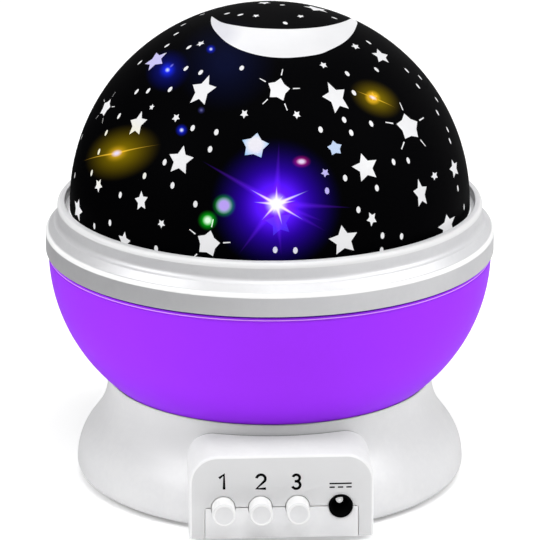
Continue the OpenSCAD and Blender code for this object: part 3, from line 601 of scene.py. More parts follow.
dress(WHITE_SHELL, "base_shell", "lamp_column", "lamp_holder")
dress(WHITE_RING, "collar_ring", "dome_retainer")
dress(WHITE_BUTTON, "button_cap_1", "button_cap_2", "button_cap_3")
dress(COVER_GREY, "bottom_cover", "battery_door")
dress(PURPLE, "bowl_shell")
dress(JACK_BLACK, "power_socket")
dress(BLACK_PLASTIC, "board_chips")
dress(DARK_PLASTIC, "switch_housings", "button_stem_1", "button_stem_2", "button_stem_3")
dress(moulded("foot_rubber", tint(150, 150, 152), rough=0.75, grain=0.05), "foot_ring")
dress(moulded("gear_nylon", tint(235, 228, 205), rough=0.4), "drive_pinion", "bowl_bush", "bowl_gear")
dress(moulded("cell_jacket", tint(40, 44, 50), rough=0.3), "battery_cells")
dress(moulded("board_green", tint(20, 96, 52), rough=0.3, drift=0.08, scale=400.0), "switch_board")
dress(moulded("board_white", tint(240, 240, 236), rough=0.35), "lamp_board")
dress(moulded("lead_red", tint(190, 30, 28), rough=0.4), "battery_lead")
dress(moulded("lead_blue", tint(30, 70, 180), rough=0.4), "motor_lead")
dress(moulded("lead_orange", tint(230, 120, 30), rough=0.4), "lamp_lead")
dress(metal("zinc_steel", tint(196, 196, 200)), "case_screws", "motor_can", "gearbox_housing",
      "motor_screws", "output_shaft", "column_screws", "thrust_washer", "retaining_ring", "gear_screws")
dress(metal("nickel_contact", tint(214, 208, 190), rough=0.18),
      "contact_plates", "contact_springs", "socket_pin")
dress(lamp_finish("lamp_white", tint(250, 250, 240), (1.0, 0.98, 0.9, 1.0)), "led_white")
dress(lamp_finish("lamp_red", tint(255, 60, 50), (1.0, 0.05, 0.03, 1.0)), "led_red")
dress(lamp_finish("lamp_green", tint(60, 240, 90), (0.05, 1.0, 0.1, 1.0)), "led_green")
dress(lamp_finish("lamp_blue", tint(60, 90, 255), (0.05, 0.1, 1.0, 1.0)), "led_blue")

make_camera()

# ---- Bowl ----


def make_bowl():
    """The bowl's wall: outside and inside are arcs round the same point, joined by a rounded lip
    with a small bead below it, and by the flat floor with the bush's hole."""
    lip, inner_lip, bead = 0.7, 0.4, 0.12
    floor_z, inner_r = BOWL_Z + BOWL_WALL, SIDE_R - BOWL_WALL
    foot = math.degrees(math.asin((BOWL_Z - SIDE[1]) / SIDE_R))
    floor = math.degrees(math.asin((floor_z - SIDE[1]) / inner_r))
    outline = np.concatenate([
        [[BOWL_HOLE_R, BOWL_Z]],
        arc(SIDE, SIDE_R, foot, -2.6, 1.0),
        arc((BOWL_R - 0.03, LIP_Z - 1.5), bead, -90, 90, 20),
        [[BOWL_R - 0.02, LIP_Z - lip - 0.25]],
        arc((BOWL_R - lip, LIP_Z - lip), lip, 0, 90, 10),
        arc((BOWL_R - BOWL_WALL + inner_lip, LIP_Z - inner_lip), inner_lip, 90, 180, 15),
        arc(SIDE, inner_r, -1, floor, 1.5),
        [[BOWL_HOLE_R, floor_z]],
    ])
    return make_piece("purple_bowl", turned(outline), PURPLE, "bowl", ["bowl_shell"])


make_bowl()

# ---- Stepped ring ----


def make_ring():
    """The ring's section: a straight band with a round top edge, a shoulder that rises to a crease
    and a cove, a round upper edge, and a lip that is nearly level up to the groove round the dome."""
    foot, edge, cove, top_edge, mouth = 0.4, 1.5, 2.0, 1.2, 0.3
    channel_top = BAND_Z - 2.2
    wall_r = RING_R - 2.1
    lip_z = RING_TOP - 0.9
    groove_z, seat_z, seat_r = DOME_Z - 1.2, DOME_Z - 2.5, DOME_R + 0.4
    outline = np.concatenate([
        [[BORE_R, RING_LOW[2]], [SPIGOT_R, RING_LOW[2]], [SPIGOT_R, channel_top],
         [wall_r, channel_top], [wall_r, RING_FOOT]],
        arc((RING_R - foot, RING_FOOT + foot), foot, 270, 360, 15),
        arc((RING_R - edge, BAND_Z - edge - 0.1), edge, 0, 68, 6),
        arc((COVE_R + cove, BAND_Z + 3.6), cove, 245, 180, 6),
        arc((COVE_R - top_edge, lip_z - 1.3), top_edge, 0, 75, 6),
        arc((GROOVE_R + mouth, lip_z - mouth), mouth, 90, 180, 15),
        [[GROOVE_R, groove_z], [seat_r, groove_z], [seat_r, seat_z], [BORE_R, seat_z]],
    ])
    return make_piece("stepped_ring", turned(outline), WHITE_RING, "cover",
                      ["collar_ring"], crease=16)


make_ring()

# ---- Dome and its print ----
# Places are frame points of the camera above. A star also has half its width and half its height
# in mm, and its lean to the right in degrees.

BIG_STARS = [
    [202.3, 90.5, 3.98, 5.47, -2], [137.2, 123.8, 3.51, 4.08, -13], [180.3, 160.4, 4.14, 4.36, -1],
    [155.4, 60.2, 4.46, 4.04, 13], [141.1, 201.0, 2.49, 2.95, -13], [77.6, 209.6, 4.34, 3.54, 9],
    [124.1, 241.3, 2.6, 3.0, 5], [335.9, 97.5, 4.03, 5.45, -7], [381.1, 55.9, 4.21, 2.98, 34],
    [365.7, 167.6, 4.36, 4.26, -5], [421.1, 193.4, 3.18, 4.3, 0], [454.4, 168.5, 3.75, 2.88, -1],
    [447.6, 225.3, 5.6, 3.39, -4], [343.8, 240.4, 4.56, 4.46, -6], [371.9, 218.9, 1.74, 2.2, -24],
    [279.0, 222.0, 3.9, 4.2, -11], [373.6, 96.7, 1.6, 1.7, 18], [264.2, 2.6, 2.3, 2.7, 10],
    [316.1, 8.4, 4.12, 4.27, 16],
]
ROUND_STARS = [
    [254.9, 145.7, 4.0, 3.85, 7], [335.0, 148.0, 2.32, 2.26, -3],
]
RAYED_STARS = [
    [105.6, 107.5, 3.19, 2.92, -6], [208.0, 243.6, 3.52, 3.89, 11], [278.5, 89.2, 3.29, 4.02, 15],
    [408.8, 126.7, 4.92, 4.12, 11],
]
SMALL_STARS = [
    [200.5, 43.4, 1.28, 1.43, -1], [256.0, 15.6, 1.18, 1.22, 13], [300.6, 16.1, 1.47, 1.11, 17],
    [151.7, 107.0, 1.01, 1.05, -13], [175.9, 117.7, 1.36, 1.4, 23], [244.3, 113.8, 1.21, 1.5, 35],
    [98.3, 185.4, 2.16, 2.13, 16], [161.3, 223.7, 1.31, 1.34, 34], [355.6, 46.3, 1.72, 1.4, 13],
    [323.5, 65.0, 1.25, 1.34, -9], [296.8, 114.6, 1.18, 1.41, -27], [325.2, 172.7, 1.29, 1.36, -25],
    [434.7, 175.8, 1.93, 1.35, -13],
]
DOTS = [
    [202.0, 14.3], [183.2, 24.6], [176.1, 33.7], [166.9, 45.5], [188.8, 47.1], [139.8, 62.4],
    [185.9, 68.3], [200.6, 72.3], [241.7, 67.9], [136.5, 91.6], [148.1, 90.7], [170.0, 89.3],
    [118.9, 116.0], [192.6, 128.0], [227.0, 13.4], [240.4, 14.6], [106.1, 132.8], [81.7, 136.8],
    [98.8, 151.7], [164.5, 162.2], [74.7, 175.2], [91.5, 172.9], [144.4, 175.8], [172.4, 185.4],
    [120.1, 195.0], [195.3, 204.1], [109.8, 222.8], [94.2, 226.1], [156.0, 248.6], [216.3, 132.1],
    [210.0, 149.2], [282.4, 4.8], [285.3, 22.9], [334.4, 17.8], [368.7, 42.2], [347.3, 73.5],
    [376.6, 69.5], [406.9, 70.4], [420.1, 77.3], [418.1, 86.0], [436.7, 99.5], [437.6, 112.5],
    [354.0, 92.7], [344.2, 119.7], [371.3, 123.6], [320.6, 129.5], [447.7, 129.6], [450.1, 140.9],
    [351.3, 132.7], [393.7, 161.9], [408.3, 160.5], [345.2, 178.0], [327.1, 190.8], [377.0, 188.0],
    [458.0, 188.3], [464.2, 207.0], [358.5, 209.8], [382.6, 235.6], [401.7, 236.4], [295.4, 250.5],
    [275.2, 249.9], [381.7, 250.3],
]
MOON_OUT = [
    [211.5, 16.1], [210.8, 21.0], [212.9, 28.0], [219.9, 36.5], [228.3, 43.5], [242.3, 50.5],
    [263.4, 56.1], [288.0, 57.8], [316.1, 54.7], [330.1, 49.8], [344.2, 42.1], [352.6, 33.7],
    [356.8, 25.2], [357.2, 21.7], [354.8, 19.2],
]
MOON_IN = [
    [351.2, 18.2], [344.2, 21.3], [332.9, 24.5], [316.1, 27.3], [288.0, 28.9], [256.4, 27.8],
    [235.3, 25.2], [221.3, 22.0], [212.2, 16.5],
]
BIG_IN, ROUND_IN, RAYED_IN, SMALL_IN = 0.51, 0.63, 0.67, 0.52  # reach of the corners between tips
DOT_LONG, DOT_WIDE = 0.95, 0.66  # half lengths of a dot, in mm
TO_TOP = np.array([0.0, 0.0, 5.0])
EDGE_TURN = math.acos((SKIRT_Z - DOME_Z) / DOME_R)  # angle from the top of the dome to its print's edge
SKIN_OUT, SKIN_IN = DOME_R, DOME_R - 0.06


def round_dome(centre, tip, reach, turn):
    """Points of the dome round a centre: each lies `reach` millimetres away along a great circle
    that sets out `turn` radians to the right of the way to the tip."""
    n = centre - DOME_MID
    n /= np.linalg.norm(n)
    t = tip - DOME_MID
    t -= n * (t @ n)
    t /= np.linalg.norm(t)
    b = np.cross(t, n)
    reach, turn = np.asarray(reach, float)[:, None] / DOME_R, np.asarray(turn, float)[:, None]
    way = np.cos(turn) * t + np.sin(turn) * b
    return DOME_MID + DOME_R * (np.cos(reach) * n + np.sin(reach) * way)


def to_sheet(points):
    """Dome points laid flat: the distance from the origin is the arc from the top of the dome. Below
    the print's edge they are pressed against it."""
    d = (points - DOME_MID) / DOME_R
    lean = np.arctan2(np.hypot(d[:, 0], d[:, 1]), d[:, 2])
    limit, squash = EDGE_TURN - 0.012, 0.02
    lean = np.where(lean > limit, limit + (lean - limit) * squash, lean)
    heading = np.arctan2(d[:, 1], d[:, 0])
    return np.stack([lean * np.cos(heading), lean * np.sin(heading)], 1) * DOME_R


def from_sheet(flat, radius):
    """The way back from the sheet to a sphere of the given radius."""
    lean = np.hypot(flat[:, 0], flat[:, 1]) / DOME_R
    heading = np.arctan2(flat[:, 1], flat[:, 0])
    return DOME_MID + radius * np.stack(
        [np.sin(lean) * np.cos(heading), np.sin(lean) * np.sin(heading), np.cos(lean)], 1)


def star_shape(inner):
    """Ten corners of a star whose first tip lies at 1: the tips' reach is 1, the corners between
    them lie at `inner`, and each is a tenth of a full turn on."""
    return np.tile([1.0, inner], 5) * np.exp(1j * np.arange(10) * math.pi / 5)


def ray_shapes():
    """Five short bars, one straight out from each tip of such a star."""
    bar = np.array([1.24 - 0.055j, 1.84 - 0.04j, 1.84 + 0.04j, 1.24 + 0.055j])
    return [bar * np.exp(2j * math.pi / 5 * k) for k in range(5)]


def carried(shape, centre, tip=None, size=1.0):
    """A shape on the dome's sheet, from a centre towards a tip or else the top of the dome, with
    `size` millimetres to the tip."""
    tip = centre + TO_TOP if tip is None else tip
    return to_sheet(round_dome(centre, tip, size * np.abs(shape), np.angle(shape)))


def set_on(shape, x, y, wide, high, lean):
    """A shape under a frame point: 1 points to the top of the dome, then it leans, and is drawn out
    to its width and height."""
    way = shape * np.exp(1j * math.radians(lean))
    return carried(way.real * high + 1j * way.imag * wide, on_dome([x, y])[0])


def dot(centre):
    """A small oval, longer towards the top of the dome."""
    a = np.arange(20) * math.pi / 10
    return carried(DOT_LONG * np.cos(a) + 1j * DOT_WIDE * np.sin(a), centre)


def front_windows():
    """The openings on the side that the camera sees."""
    windows = [to_sheet(on_dome(np.concatenate([through(MOON_OUT), through(MOON_IN)])))]
    windows += [dot(on_dome(px)[0]) for px in DOTS]
    for kind, inner in ((BIG_STARS, BIG_IN), (ROUND_STARS, ROUND_IN),
                        (RAYED_STARS, RAYED_IN), (SMALL_STARS, SMALL_IN)):
        for row in kind:
            windows.append(set_on(star_shape(inner), *row))
            if kind is RAYED_STARS:
                windows += [set_on(ray, *row) for ray in ray_shapes()]
    return windows


def back_windows():
    """The openings on the far side: the points of a spiral that turns by the golden angle and sinks
    evenly, each pushed a little aside by waves, take big stars, small stars and dots in turn. Those
    nearest to the seen side are all dots."""
    count, kinds, big, small = 210, 19, 5, 8
    k = np.arange(count) + 0.5
    height = 1 - k / count + 0.02 * np.sin(3.7 * k)
    heading = k * math.pi * (3 - math.sqrt(5)) + 0.09 * np.sin(5.1 * k)
    level = np.sqrt(np.maximum(1 - height ** 2, 0.0))
    n = np.stack([level * np.cos(heading), level * np.sin(heading), height], 1)
    eye = (EYE - DOME_MID) / np.linalg.norm(EYE - DOME_MID)
    free = (n @ eye < 0.02) & (height > 0.07)
    windows = []
    for step in np.nonzero(free)[0]:
        centre = DOME_MID + n[step] * DOME_R
        side = np.array([-n[step][1], n[step][0], 0.0])
        tip = centre + np.array([0.0, 0.0, 4.0]) + side * 2.8 * math.sin(step * 2.4)
        turn = step * 7 % kinds if n[step] @ eye < -0.05 else kinds
        if turn < big:
            rayed = turn == 0
            size = (4.0 + 0.9 * math.sin(step * 1.7)) * (0.8 if rayed else 1.0)
            windows.append(carried(star_shape(RAYED_IN if rayed else BIG_IN), centre, tip, size))
            if rayed:
                windows += [carried(ray, centre, tip, size) for ray in ray_shapes()]
        elif turn < small:
            windows.append(carried(star_shape(SMALL_IN), centre, tip, 1.35))
        else:
            windows.append(dot(centre))
    return windows


def cut_sheet(edge, holes, filling, lift):
    """A thin closed sheet with openings: the area inside `edge` and outside `holes` is laid out in
    triangles, `lift` carries them to the sheet's outer and inner side, and a strip joins the two
    along every edge that only one triangle has."""
    loops, faces, start = [], [], 0
    for loop in [edge, *holes]:
        x, y = loop.T
        if (x * np.roll(y, -1) - y * np.roll(x, -1)).sum() < 0:
            loop = loop[::-1]
        loops.append(loop)
        faces.append(list(range(start, start + len(loop))))
        start += len(loop)
    flat = np.concatenate(loops + [filling])
    flat, _, tris, _, _, kept_from = delaunay_2d_cdt([Vector(p) for p in flat.tolist()], [], faces, 1, 1e-5)
    flat = np.array([tuple(p) for p in flat])
    keep = np.array([0 in source and max(source) == 0 for source in kept_from])
    tris = np.array(tris)[keep]
    sides = np.concatenate([tris[:, [0, 1]], tris[:, [1, 2]], tris[:, [2, 0]]])
    _, back, times = np.unique(np.sort(sides, 1), axis=0, return_inverse=True, return_counts=True)
    rim = sides[times[back.ravel()] == 1]
    n = len(flat)
    walls = np.stack([rim[:, 0], rim[:, 0] + n, rim[:, 1] + n, rim[:, 1]], 1)
    points = np.concatenate([lift(flat, 0), lift(flat, 1)])
    used = np.zeros(2 * n, bool)
    used[np.concatenate([tris.ravel(), (tris + n).ravel()])] = True
    new = np.cumsum(used) - 1
    faces = new[tris].tolist() + new[tris[:, ::-1] + n].tolist() + new[walls].tolist()
    return points[used], faces


def circle(count):
    """Points evenly round a circle of radius 1."""
    a = 2 * np.pi * np.arange(count) / count
    return np.stack([np.cos(a), np.sin(a)], 1)


def make_print():
    """The black skin of the dome with its openings; rings of points between them keep it round."""
    gap, margin = 2.4, 1.5
    edge = circle(TURNS) * EDGE_TURN * DOME_R
    rings = [circle(6 * max(1, int(round(reach / gap)))) * reach
             for reach in np.arange(gap, EDGE_TURN * DOME_R - margin, gap)]
    windows = front_windows() + back_windows()
    shell = cut_sheet(edge, windows, np.concatenate(rings),
                      lambda flat, depth: from_sheet(flat, (SKIN_OUT, SKIN_IN)[depth]))
    return make_piece("star_print", shell, BLACK_PRINT, "cover", ["star_mask"])


def make_dome():
    """The milky dome: a wall between two spheres, a short straight skirt, and the flange under the
    ring's seat."""
    out, wall, bevel = SKIN_IN - 0.02, 1.6, 0.3
    seat, low, flange_r = DOME_Z - 2.6, DOME_LOW[2], DOME_HIGH[0]
    outline = np.concatenate([
        arc((0.0, DOME_Z), out, 90, 0, 1.5),
        [[out, seat], [flange_r - bevel, seat], [flange_r, seat - bevel], [flange_r, low],
         [out - wall, low]],
        arc((0.0, DOME_Z), out - wall, 0, 90, 1.5),
    ])
    return make_piece("milky_dome", turned(outline), MILKY, "cover", ["dome"])


# ---- Light of the lamps on the dome ----
# All in frame points. A spot has its centre, its core, its reach, how fast it falls and its colour,
# and where they aren't 1, its strength and its length against its width along a way.

BURST_PX = [276.3, 204.0]
BURST_RAYS = [
    [-27.3, -15.3], [-23.3, -2.0], [-15.1, 16.8], [6.1, 21.9], [27.8, 16.3], [20.1, -3.4],
    [32.9, -13.8], [0.4, -18.9], [7.3, -8.7], [-3.4, 9.7],
]
BURST_BEAMS = [
    [2.8, -64.0], [-38.6, 51.5], [5.3, 53.6], [-76.0, -44.0], [77.0, 3.6], [51.0, 28.0], [49.0, 18.0],
]
VIOLET, PALE_VIOLET = tint(62, 5, 225), tint(120, 40, 255)
GREEN, MAGENTA, GOLD, BLUE = tint(0, 195, 25), tint(190, 20, 130), tint(132, 112, 0), tint(20, 40, 235)
AMBER, PALE, STREAK_GOLD = tint(255, 195, 40), tint(235, 225, 255), tint(255, 200, 60)
WHITE, WARM_WHITE = (1.0, 1.0, 1.0, 1.0), (1.0, 0.95, 0.85, 1.0)
SLANT_1, SLANT_2 = (1.0, -0.22), (1.0, 0.43)
FLARE_1, FLARE_2, ROSE = [116.6, 153.3], [372.8, 97.6], [301.5, 161.6]
BLUE_1, BLUE_2, BLUE_3, BLUE_4 = [167.5, 69.9], [210.9, 49.1], [181.6, 130.1], [201.3, 110.1]
GREEN_1, GREEN_2, PALE_STAR = [224.0, 205.5], [207.7, 220.3], [255.6, 144.8]
GLOWS = [  # these add up
    (BURST_PX, 12.0, 66.0, 2.3, VIOLET, 1.4),
    (BURST_PX, 7.0, 38.0, 2.2, PALE_VIOLET, 0.8),
    ([225.0, 62.0], 8.0, 52.0, 1.4, tint(7, 12, 44)),
    (BLUE_1, 3.0, 24.0, 1.6, tint(12, 18, 120)),
    (BLUE_1, 2.0, 10.0, 1.8, BLUE),
    (BLUE_2, 1.0, 5.5, 1.6, BLUE, 0.8),
    (BLUE_3, 1.5, 6.5, 1.6, BLUE, 0.8),
    (BLUE_4, 0.8, 4.0, 1.5, tint(60, 60, 125), 0.8),
    ([120.0, 152.6], 3.0, 28.0, 1.7, GOLD, 1.0, 1.6, SLANT_1),
    ([376.0, 98.7], 2.5, 19.0, 1.7, GOLD, 1.0, 1.5, SLANT_2),
    (ROSE, 1.5, 6.5, 1.5, MAGENTA, 0.9, 1.5),
]
CORES = [  # these cover what lies under them
    (BURST_PX, 4.6, 12.6, 2.2, WHITE),
    (GREEN_1, 5.0, 12.2, 2.1, GREEN, 0.85),
    (GREEN_1, 4.2, 8.6, 1.3, tint(186, 160, 245)),
    (GREEN_2, 3.5, 10.4, 1.9, GREEN, 0.9),
    (GREEN_2, 2.0, 5.4, 1.4, tint(225, 255, 228)),
    (ROSE, 1.2, 3.4, 1.4, PALE, 0.9, 1.6),
    (FLARE_1, 1.0, 9.5, 2.0, AMBER, 0.9, 1.6, SLANT_1),
    (FLARE_1, 0.8, 3.6, 1.2, PALE, 1.0, 1.9, SLANT_1),
    (FLARE_2, 4.5, 8.0, 1.4, tint(225, 175, 30), 0.9, 1.1, SLANT_2),
    (FLARE_2, 0.4, 2.2, 1.2, PALE, 0.9, 2.2, SLANT_2),
    (BLUE_1, 0.6, 3.0, 1.5, tint(205, 220, 255)),
    ([171.7, 65.6], 0.3, 1.3, 1.2, tint(120, 120, 235), 0.9, 2.4, (1.0, -1.0)),
    (BLUE_2, 0.6, 2.2, 1.5, tint(215, 225, 255), 0.9),
    (BLUE_3, 0.6, 2.6, 1.5, tint(225, 235, 255)),
    (BLUE_4, 0.3, 2.0, 1.5, tint(110, 110, 160), 0.7),
]
TINTS = [  # light that the clear openings take on
    ([220.0, 31.0], 8.0, 24.0, 1.0, tint(230, 230, 235)),
    ([155.8, 61.6], 9.0, 14.0, 1.0, tint(214, 208, 255)),
    (PALE_STAR, 16.0, 19.0, 1.0, tint(140, 205, 255)),
    (PALE_STAR, 6.0, 15.0, 1.0, tint(250, 248, 255)),
    ([335.0, 147.6], 8.0, 11.0, 1.0, tint(205, 225, 255)),
    ([326.0, 182.0], 13.0, 18.0, 1.0, tint(205, 195, 255)),
    (FLARE_1, 18.0, 40.0, 1.0, tint(255, 252, 225), 1.0, 1.3),
    (FLARE_2, 5.0, 9.0, 1.0, tint(150, 110, 10)),
    (BURST_PX, 30.0, 50.0, 1.8, tint(48, 36, 150)),
]
STREAKS = [  # from and to
    (FLARE_1, [82.0, 161.7]), (FLARE_1, [161.8, 144.3]),
    (FLARE_2, [354.4, 90.2]), (FLARE_2, [397.2, 108.6]),
]


def way_on_dome(px, step):
    """Start on the dome, unit ways along and across a step of the view, and the step's length."""
    start, end = on_dome([px, [px[0] + step[0], px[1] + step[1]]])
    n = (start - DOME_MID) / DOME_R
    along = end - start
    along -= n * (along @ n)
    length = np.linalg.norm(along)
    along /= length
    return start, along, np.cross(n, along), length


def make_dome_lights():
    """The lamps' light on the dome: glows and rays added up with bright cores laid over them, and
    the tint that the clear openings take on."""
    group, _, result = effect("dome_lights", {}, {"Glow": (0.0,) * 4, "Tint": (1.0,) * 4})
    point = DOME_FAR / FOCAL_PX * MM

    def spot(px, core, reach, fall, colour, strength=1.0, longer=1.0, way=(1.0, 0.0)):
        """Its mask: the distance from its centre across the view, with the long axis shrunk and a
        little of the depth added, which keeps it off the far side."""
        along = RIGHT * way[0] - UP * way[1]
        along /= np.linalg.norm(along)
        ways = [tuple(along / longer), tuple(np.cross(AHEAD, along)), tuple(AHEAD * 0.25)]
        offset = vectors(group, "SUBTRACT", object_place(group), tuple(on_dome(px)[0] * MM))
        local = wire(group, "CombineXYZ", {
            k: vectors(group, "DOT_PRODUCT", offset, w) for k, w in enumerate(ways)}).outputs[0]
        mask = place(group, LIGHT_SPOT, {
            "Offset": local, "Core": core * point, "Reach": reach * point, "Fall": fall})["Mask"]
        return maths(group, "MULTIPLY", mask, strength), colour

    def ray(px, step, width, colour, strength):
        """The mask of a ray along a step of the view, `width` mm wide."""
        start, along, across, length = way_on_dome(px, step)
        mask = place(group, LIGHT_RAY, {
            "Centre": tuple(start * MM), "Along": tuple(along), "Across": tuple(across),
            "Length": length * MM, "Width": width * MM})["Mask"]
        return maths(group, "MULTIPLY", mask, strength), colour

    added = [spot(*row) for row in GLOWS]
    added += [ray(BURST_PX, step, 0.75, WARM_WHITE, 1.5) for step in BURST_RAYS]
    added += [ray(BURST_PX, step, 1.6, PALE_VIOLET, 0.45) for step in BURST_BEAMS]
    added += [ray(a, [b[0] - a[0], b[1] - a[1]], 0.4, STREAK_GOLD, 1.0) for a, b in STREAKS]
    total, taken = (0.0, 0.0, 0.0, 1.0), WHITE
    for mask, colour in added:
        total = blend(group, mask, total, colour, "ADD")
    for mask, colour in [spot(*row) for row in CORES]:
        total = blend(group, mask, total, colour)
    for mask, colour in [spot(*row) for row in TINTS]:
        taken = blend(group, mask, taken, colour)
    group.links.new(total, result["Glow"])
    group.links.new(taken, result["Tint"])
    return group


def black_print(lights):
    """The print's black plastic, which also gives off the lamps' light."""
    finish = moulded("black_print", tint(2, 2, 3), rough=0.55, shine=0.008, Emission_Strength=1.0)
    tree, surface, _ = own_colour(finish)
    lay(tree, surface, Emission_Color=place(tree, lights)["Glow"])
    return finish


def milky_plastic(lights):
    """The dome's milky plastic: it glows a cloudy white, takes on the colour of the light behind it,
    and gives off the lamps' light."""
    finish = moulded("milky_dome", tint(150, 150, 152), rough=0.35, shine=0.2, Emission_Strength=1.0)
    tree, surface, colour = own_colour(finish)
    glow = place(tree, lights)
    cloud = ramp(tree, noise(tree, 30.0, 2.0), 0.3, 0.7)
    white = blend(tree, cloud, (0.47, 0.47, 0.475, 1.0), (0.57, 0.57, 0.575, 1.0))
    lit = blend(tree, 1.0, white, glow["Tint"], "MULTIPLY")
    lay(tree, surface, Base_Color=blend(tree, 1.0, colour, glow["Tint"], "MULTIPLY"),
        Emission_Color=blend(tree, 1.0, lit, glow["Glow"], "ADD"))
    return finish


DOME_LIGHTS = make_dome_lights()
BLACK_PRINT = black_print(DOME_LIGHTS)
MILKY = milky_plastic(DOME_LIGHTS)
dress(BLACK_PRINT, "star_mask")
dress(MILKY, "dome")
make_dome()
make_print()

# ---- Base: bell and control box ----


def bell_outline(inset):
    """Roll, hip, flank and waist of the bell as arcs, moved inwards by `inset`."""
    return np.concatenate([
        arc((FLARE_R - ROLL_R, HIP[1]), ROLL_R - inset * 0.9, -70, 0, 5),
        arc(HIP, HIP_R - inset, 2, LEAN, 2),
        arc(WAIST, WAIST_R + inset, 180 + LEAN, 180, 2),
    ])


def make_bell():
    """The bell's wall with the deck across it and the dish on top, turned about the spin axis. The dish
    is the bowl's own curve a gap further out, and the gap closes with the square of the way to the
    rim. Behind the control box the wall is open: there, what lies below OPEN_Z is drawn up to
    that level."""
    tip, corner_in, corner_down = 0.4, 5.0, 2.0
    roof_z = DECK_Z - SHELL_T
    inner = bell_outline(SHELL_T)
    inner = inner[inner[:, 1] < roof_z - corner_down]
    outer = bell_outline(0.0)
    share = np.linspace(0.0, 1.0, 12)
    dish_x = DISH_IN_R + (NECK_R - tip - DISH_IN_R) * share
    dish_r = SIDE_R + DISH_GAP + (RIM_GAP - DISH_GAP) * share ** 2
    dish = np.stack([dish_x, SIDE[1] - np.sqrt(dish_r ** 2 - (dish_x - SIDE[0]) ** 2)], 1)
    roof = np.array([[COLUMN_HOLE_R, DECK_Z], [COLUMN_HOLE_R, roof_z], [NECK_R - corner_in, roof_z],
                     [NECK_R - SHELL_T, roof_z - corner_down]])
    rim = arc((NECK_R - tip, dish[-1, 1] - tip), tip, 0, 75, 15)
    top = np.concatenate([rim, dish[::-1], [[DISH_IN_R, DECK_Z]]])
    closed = np.concatenate([roof, inner[::-1], outer, top])
    ends = [[np.interp(OPEN_Z, side[:, 1], side[:, 0]), OPEN_Z] for side in (inner, outer)]
    lifted = [np.where(side[:, 1:] < OPEN_Z, end, side) for side, end in zip((inner, outer), ends)]
    opened = np.concatenate([roof, lifted[0][::-1], lifted[1], top])
    points, faces = turned(closed)
    raised, _ = turned(opened)
    a = 2 * np.pi * np.arange(TURNS) / TURNS
    behind = (np.abs(np.sin(a)) * FLARE_R < BOX_HALF - SHELL_T - 0.5) & (np.cos(a) > 0)
    points = np.where(np.repeat(behind, len(closed))[:, None], raised, points)
    return make_piece("base_bell", (points, faces), WHITE_SHELL, "base", ["base_shell"])


make_bell()


def box_section(y, inset):
    """The box's outline across X and Z at a place y, moved inwards: up one side, round the top
    corners and down the other. The top falls towards the front by BOX_SLOPE, and towards the
    sides by BOX_SAG times the square of the way out, fading to nothing at the front."""
    half, top = BOX_HALF - inset, BOX_TOP + BOX_SLOPE * (y - BOX_FRONT) - inset
    corner = BOX_CORNER - inset
    rise = np.linspace(BOX_FOOT, top - corner, 6)[:-1]
    across = np.linspace(-half + corner, half - corner, 9)[1:-1]
    side = np.concatenate([np.stack([np.full(len(rise), -half), rise], 1),
                           arc((-half + corner, top - corner), corner, 180, 90, 5)])
    crown = np.stack([across, np.full(len(across), top)], 1)
    flat = np.concatenate([side, crown, side[::-1] * [-1, 1]])
    share = np.clip((flat[:, 1] - BOX_FOOT) / (top - BOX_FOOT), 0, 1)
    flat[:, 1] -= BOX_SAG * (flat[:, 0] / half) ** 2 * share * (y - BOX_FRONT) / (BOX_BACK - BOX_FRONT)
    return standing(flat, y)


def row_section(y, inset, notch):
    """Outline of the notch in the box's front, or of the bottom cover's tab that closes its lower
    part: up one side, along the row's level and down the other side, with a half circle over
    (notch) or under (tab) each button and the socket. `inset` moves the notch outwards and the tab
    inwards."""
    grow, corner = (NOTCH_PLAY + inset, 0.6) if notch else (-inset, 0.4)
    half, level = TAB_HALF + grow, ROW_Z + grow
    run = [[[-half, BOX_FOOT]], arc((-half + corner, level - corner), corner, 180, 90, 15)]
    for x, r in ROW:
        low = math.degrees(math.asin(min(1.0, abs(grow) / (r + inset))))
        start, end = (180 - low, low) if notch else (180 + low, 360 - low)
        run.append(arc((x, ROW_Z), r + inset, start, end, (180 - 2 * low) / 29.5))
    run += [arc((half - corner, level - corner), corner, 90, 0, 15), [[half, BOX_FOOT]]]
    return standing(np.concatenate(run), y)


def make_box():
    """The control box: sections carried from the neck to the front face and round its edge, the
    front face with the notch cut in it, and the same inwards at the wall's thickness."""
    ease = 0.3
    outer = [box_section(y, 0.0) for y in np.linspace(BOX_BACK, BOX_FRONT + BOX_EDGE, 8)[:-1]]
    outer += [box_section(BOX_FRONT + BOX_EDGE * (1 - math.sin(t)), BOX_EDGE * (1 - math.cos(t)))
              for t in np.radians(np.linspace(0, 90, 9))]
    notch = [row_section(BOX_FRONT + ease * (1 - math.cos(t)), ease * (1 - math.sin(t)), True)
             for t in np.radians([0, 30, 60, 90])]
    notch.append(row_section(BOX_FRONT + SHELL_T, 0.0, True))
    inner = [box_section(y, SHELL_T) for y in (BOX_FRONT + SHELL_T, BOX_BACK)]
    wide, narrow = len(outer[0]), len(notch[0])
    notch_at = len(outer) * wide
    inner_at = notch_at + len(notch) * narrow
    far = inner_at + wide
    faces = []
    for rows, width, at in ((outer, wide, 0), (notch, narrow, notch_at), (inner, wide, inner_at)):
        faces += (grid_faces(len(rows), width) + at).tolist()
    faces.append([*range(notch_at - wide, notch_at), *range(notch_at + narrow - 1, notch_at - 1, -1)])
    faces.append([*range(inner_at, far), *range(inner_at - 1, inner_at - narrow - 1, -1)])
    faces += [[k, k + 1, far + k + 1, far + k] for k in range(wide - 1)]
    for box_end, notch_end in ((0, 0), (wide - 1, narrow - 1)):
        faces.append([*range(box_end, notch_at, wide), *range(notch_at + notch_end, inner_at, narrow),
                      *range(inner_at + box_end, far + wide, wide)])
    points = np.concatenate(outer + notch + inner)
    return make_piece("control_box", (points, faces), BOX_WHITE, "base", ["base_shell"])


make_box()

# ---- Buttons ----


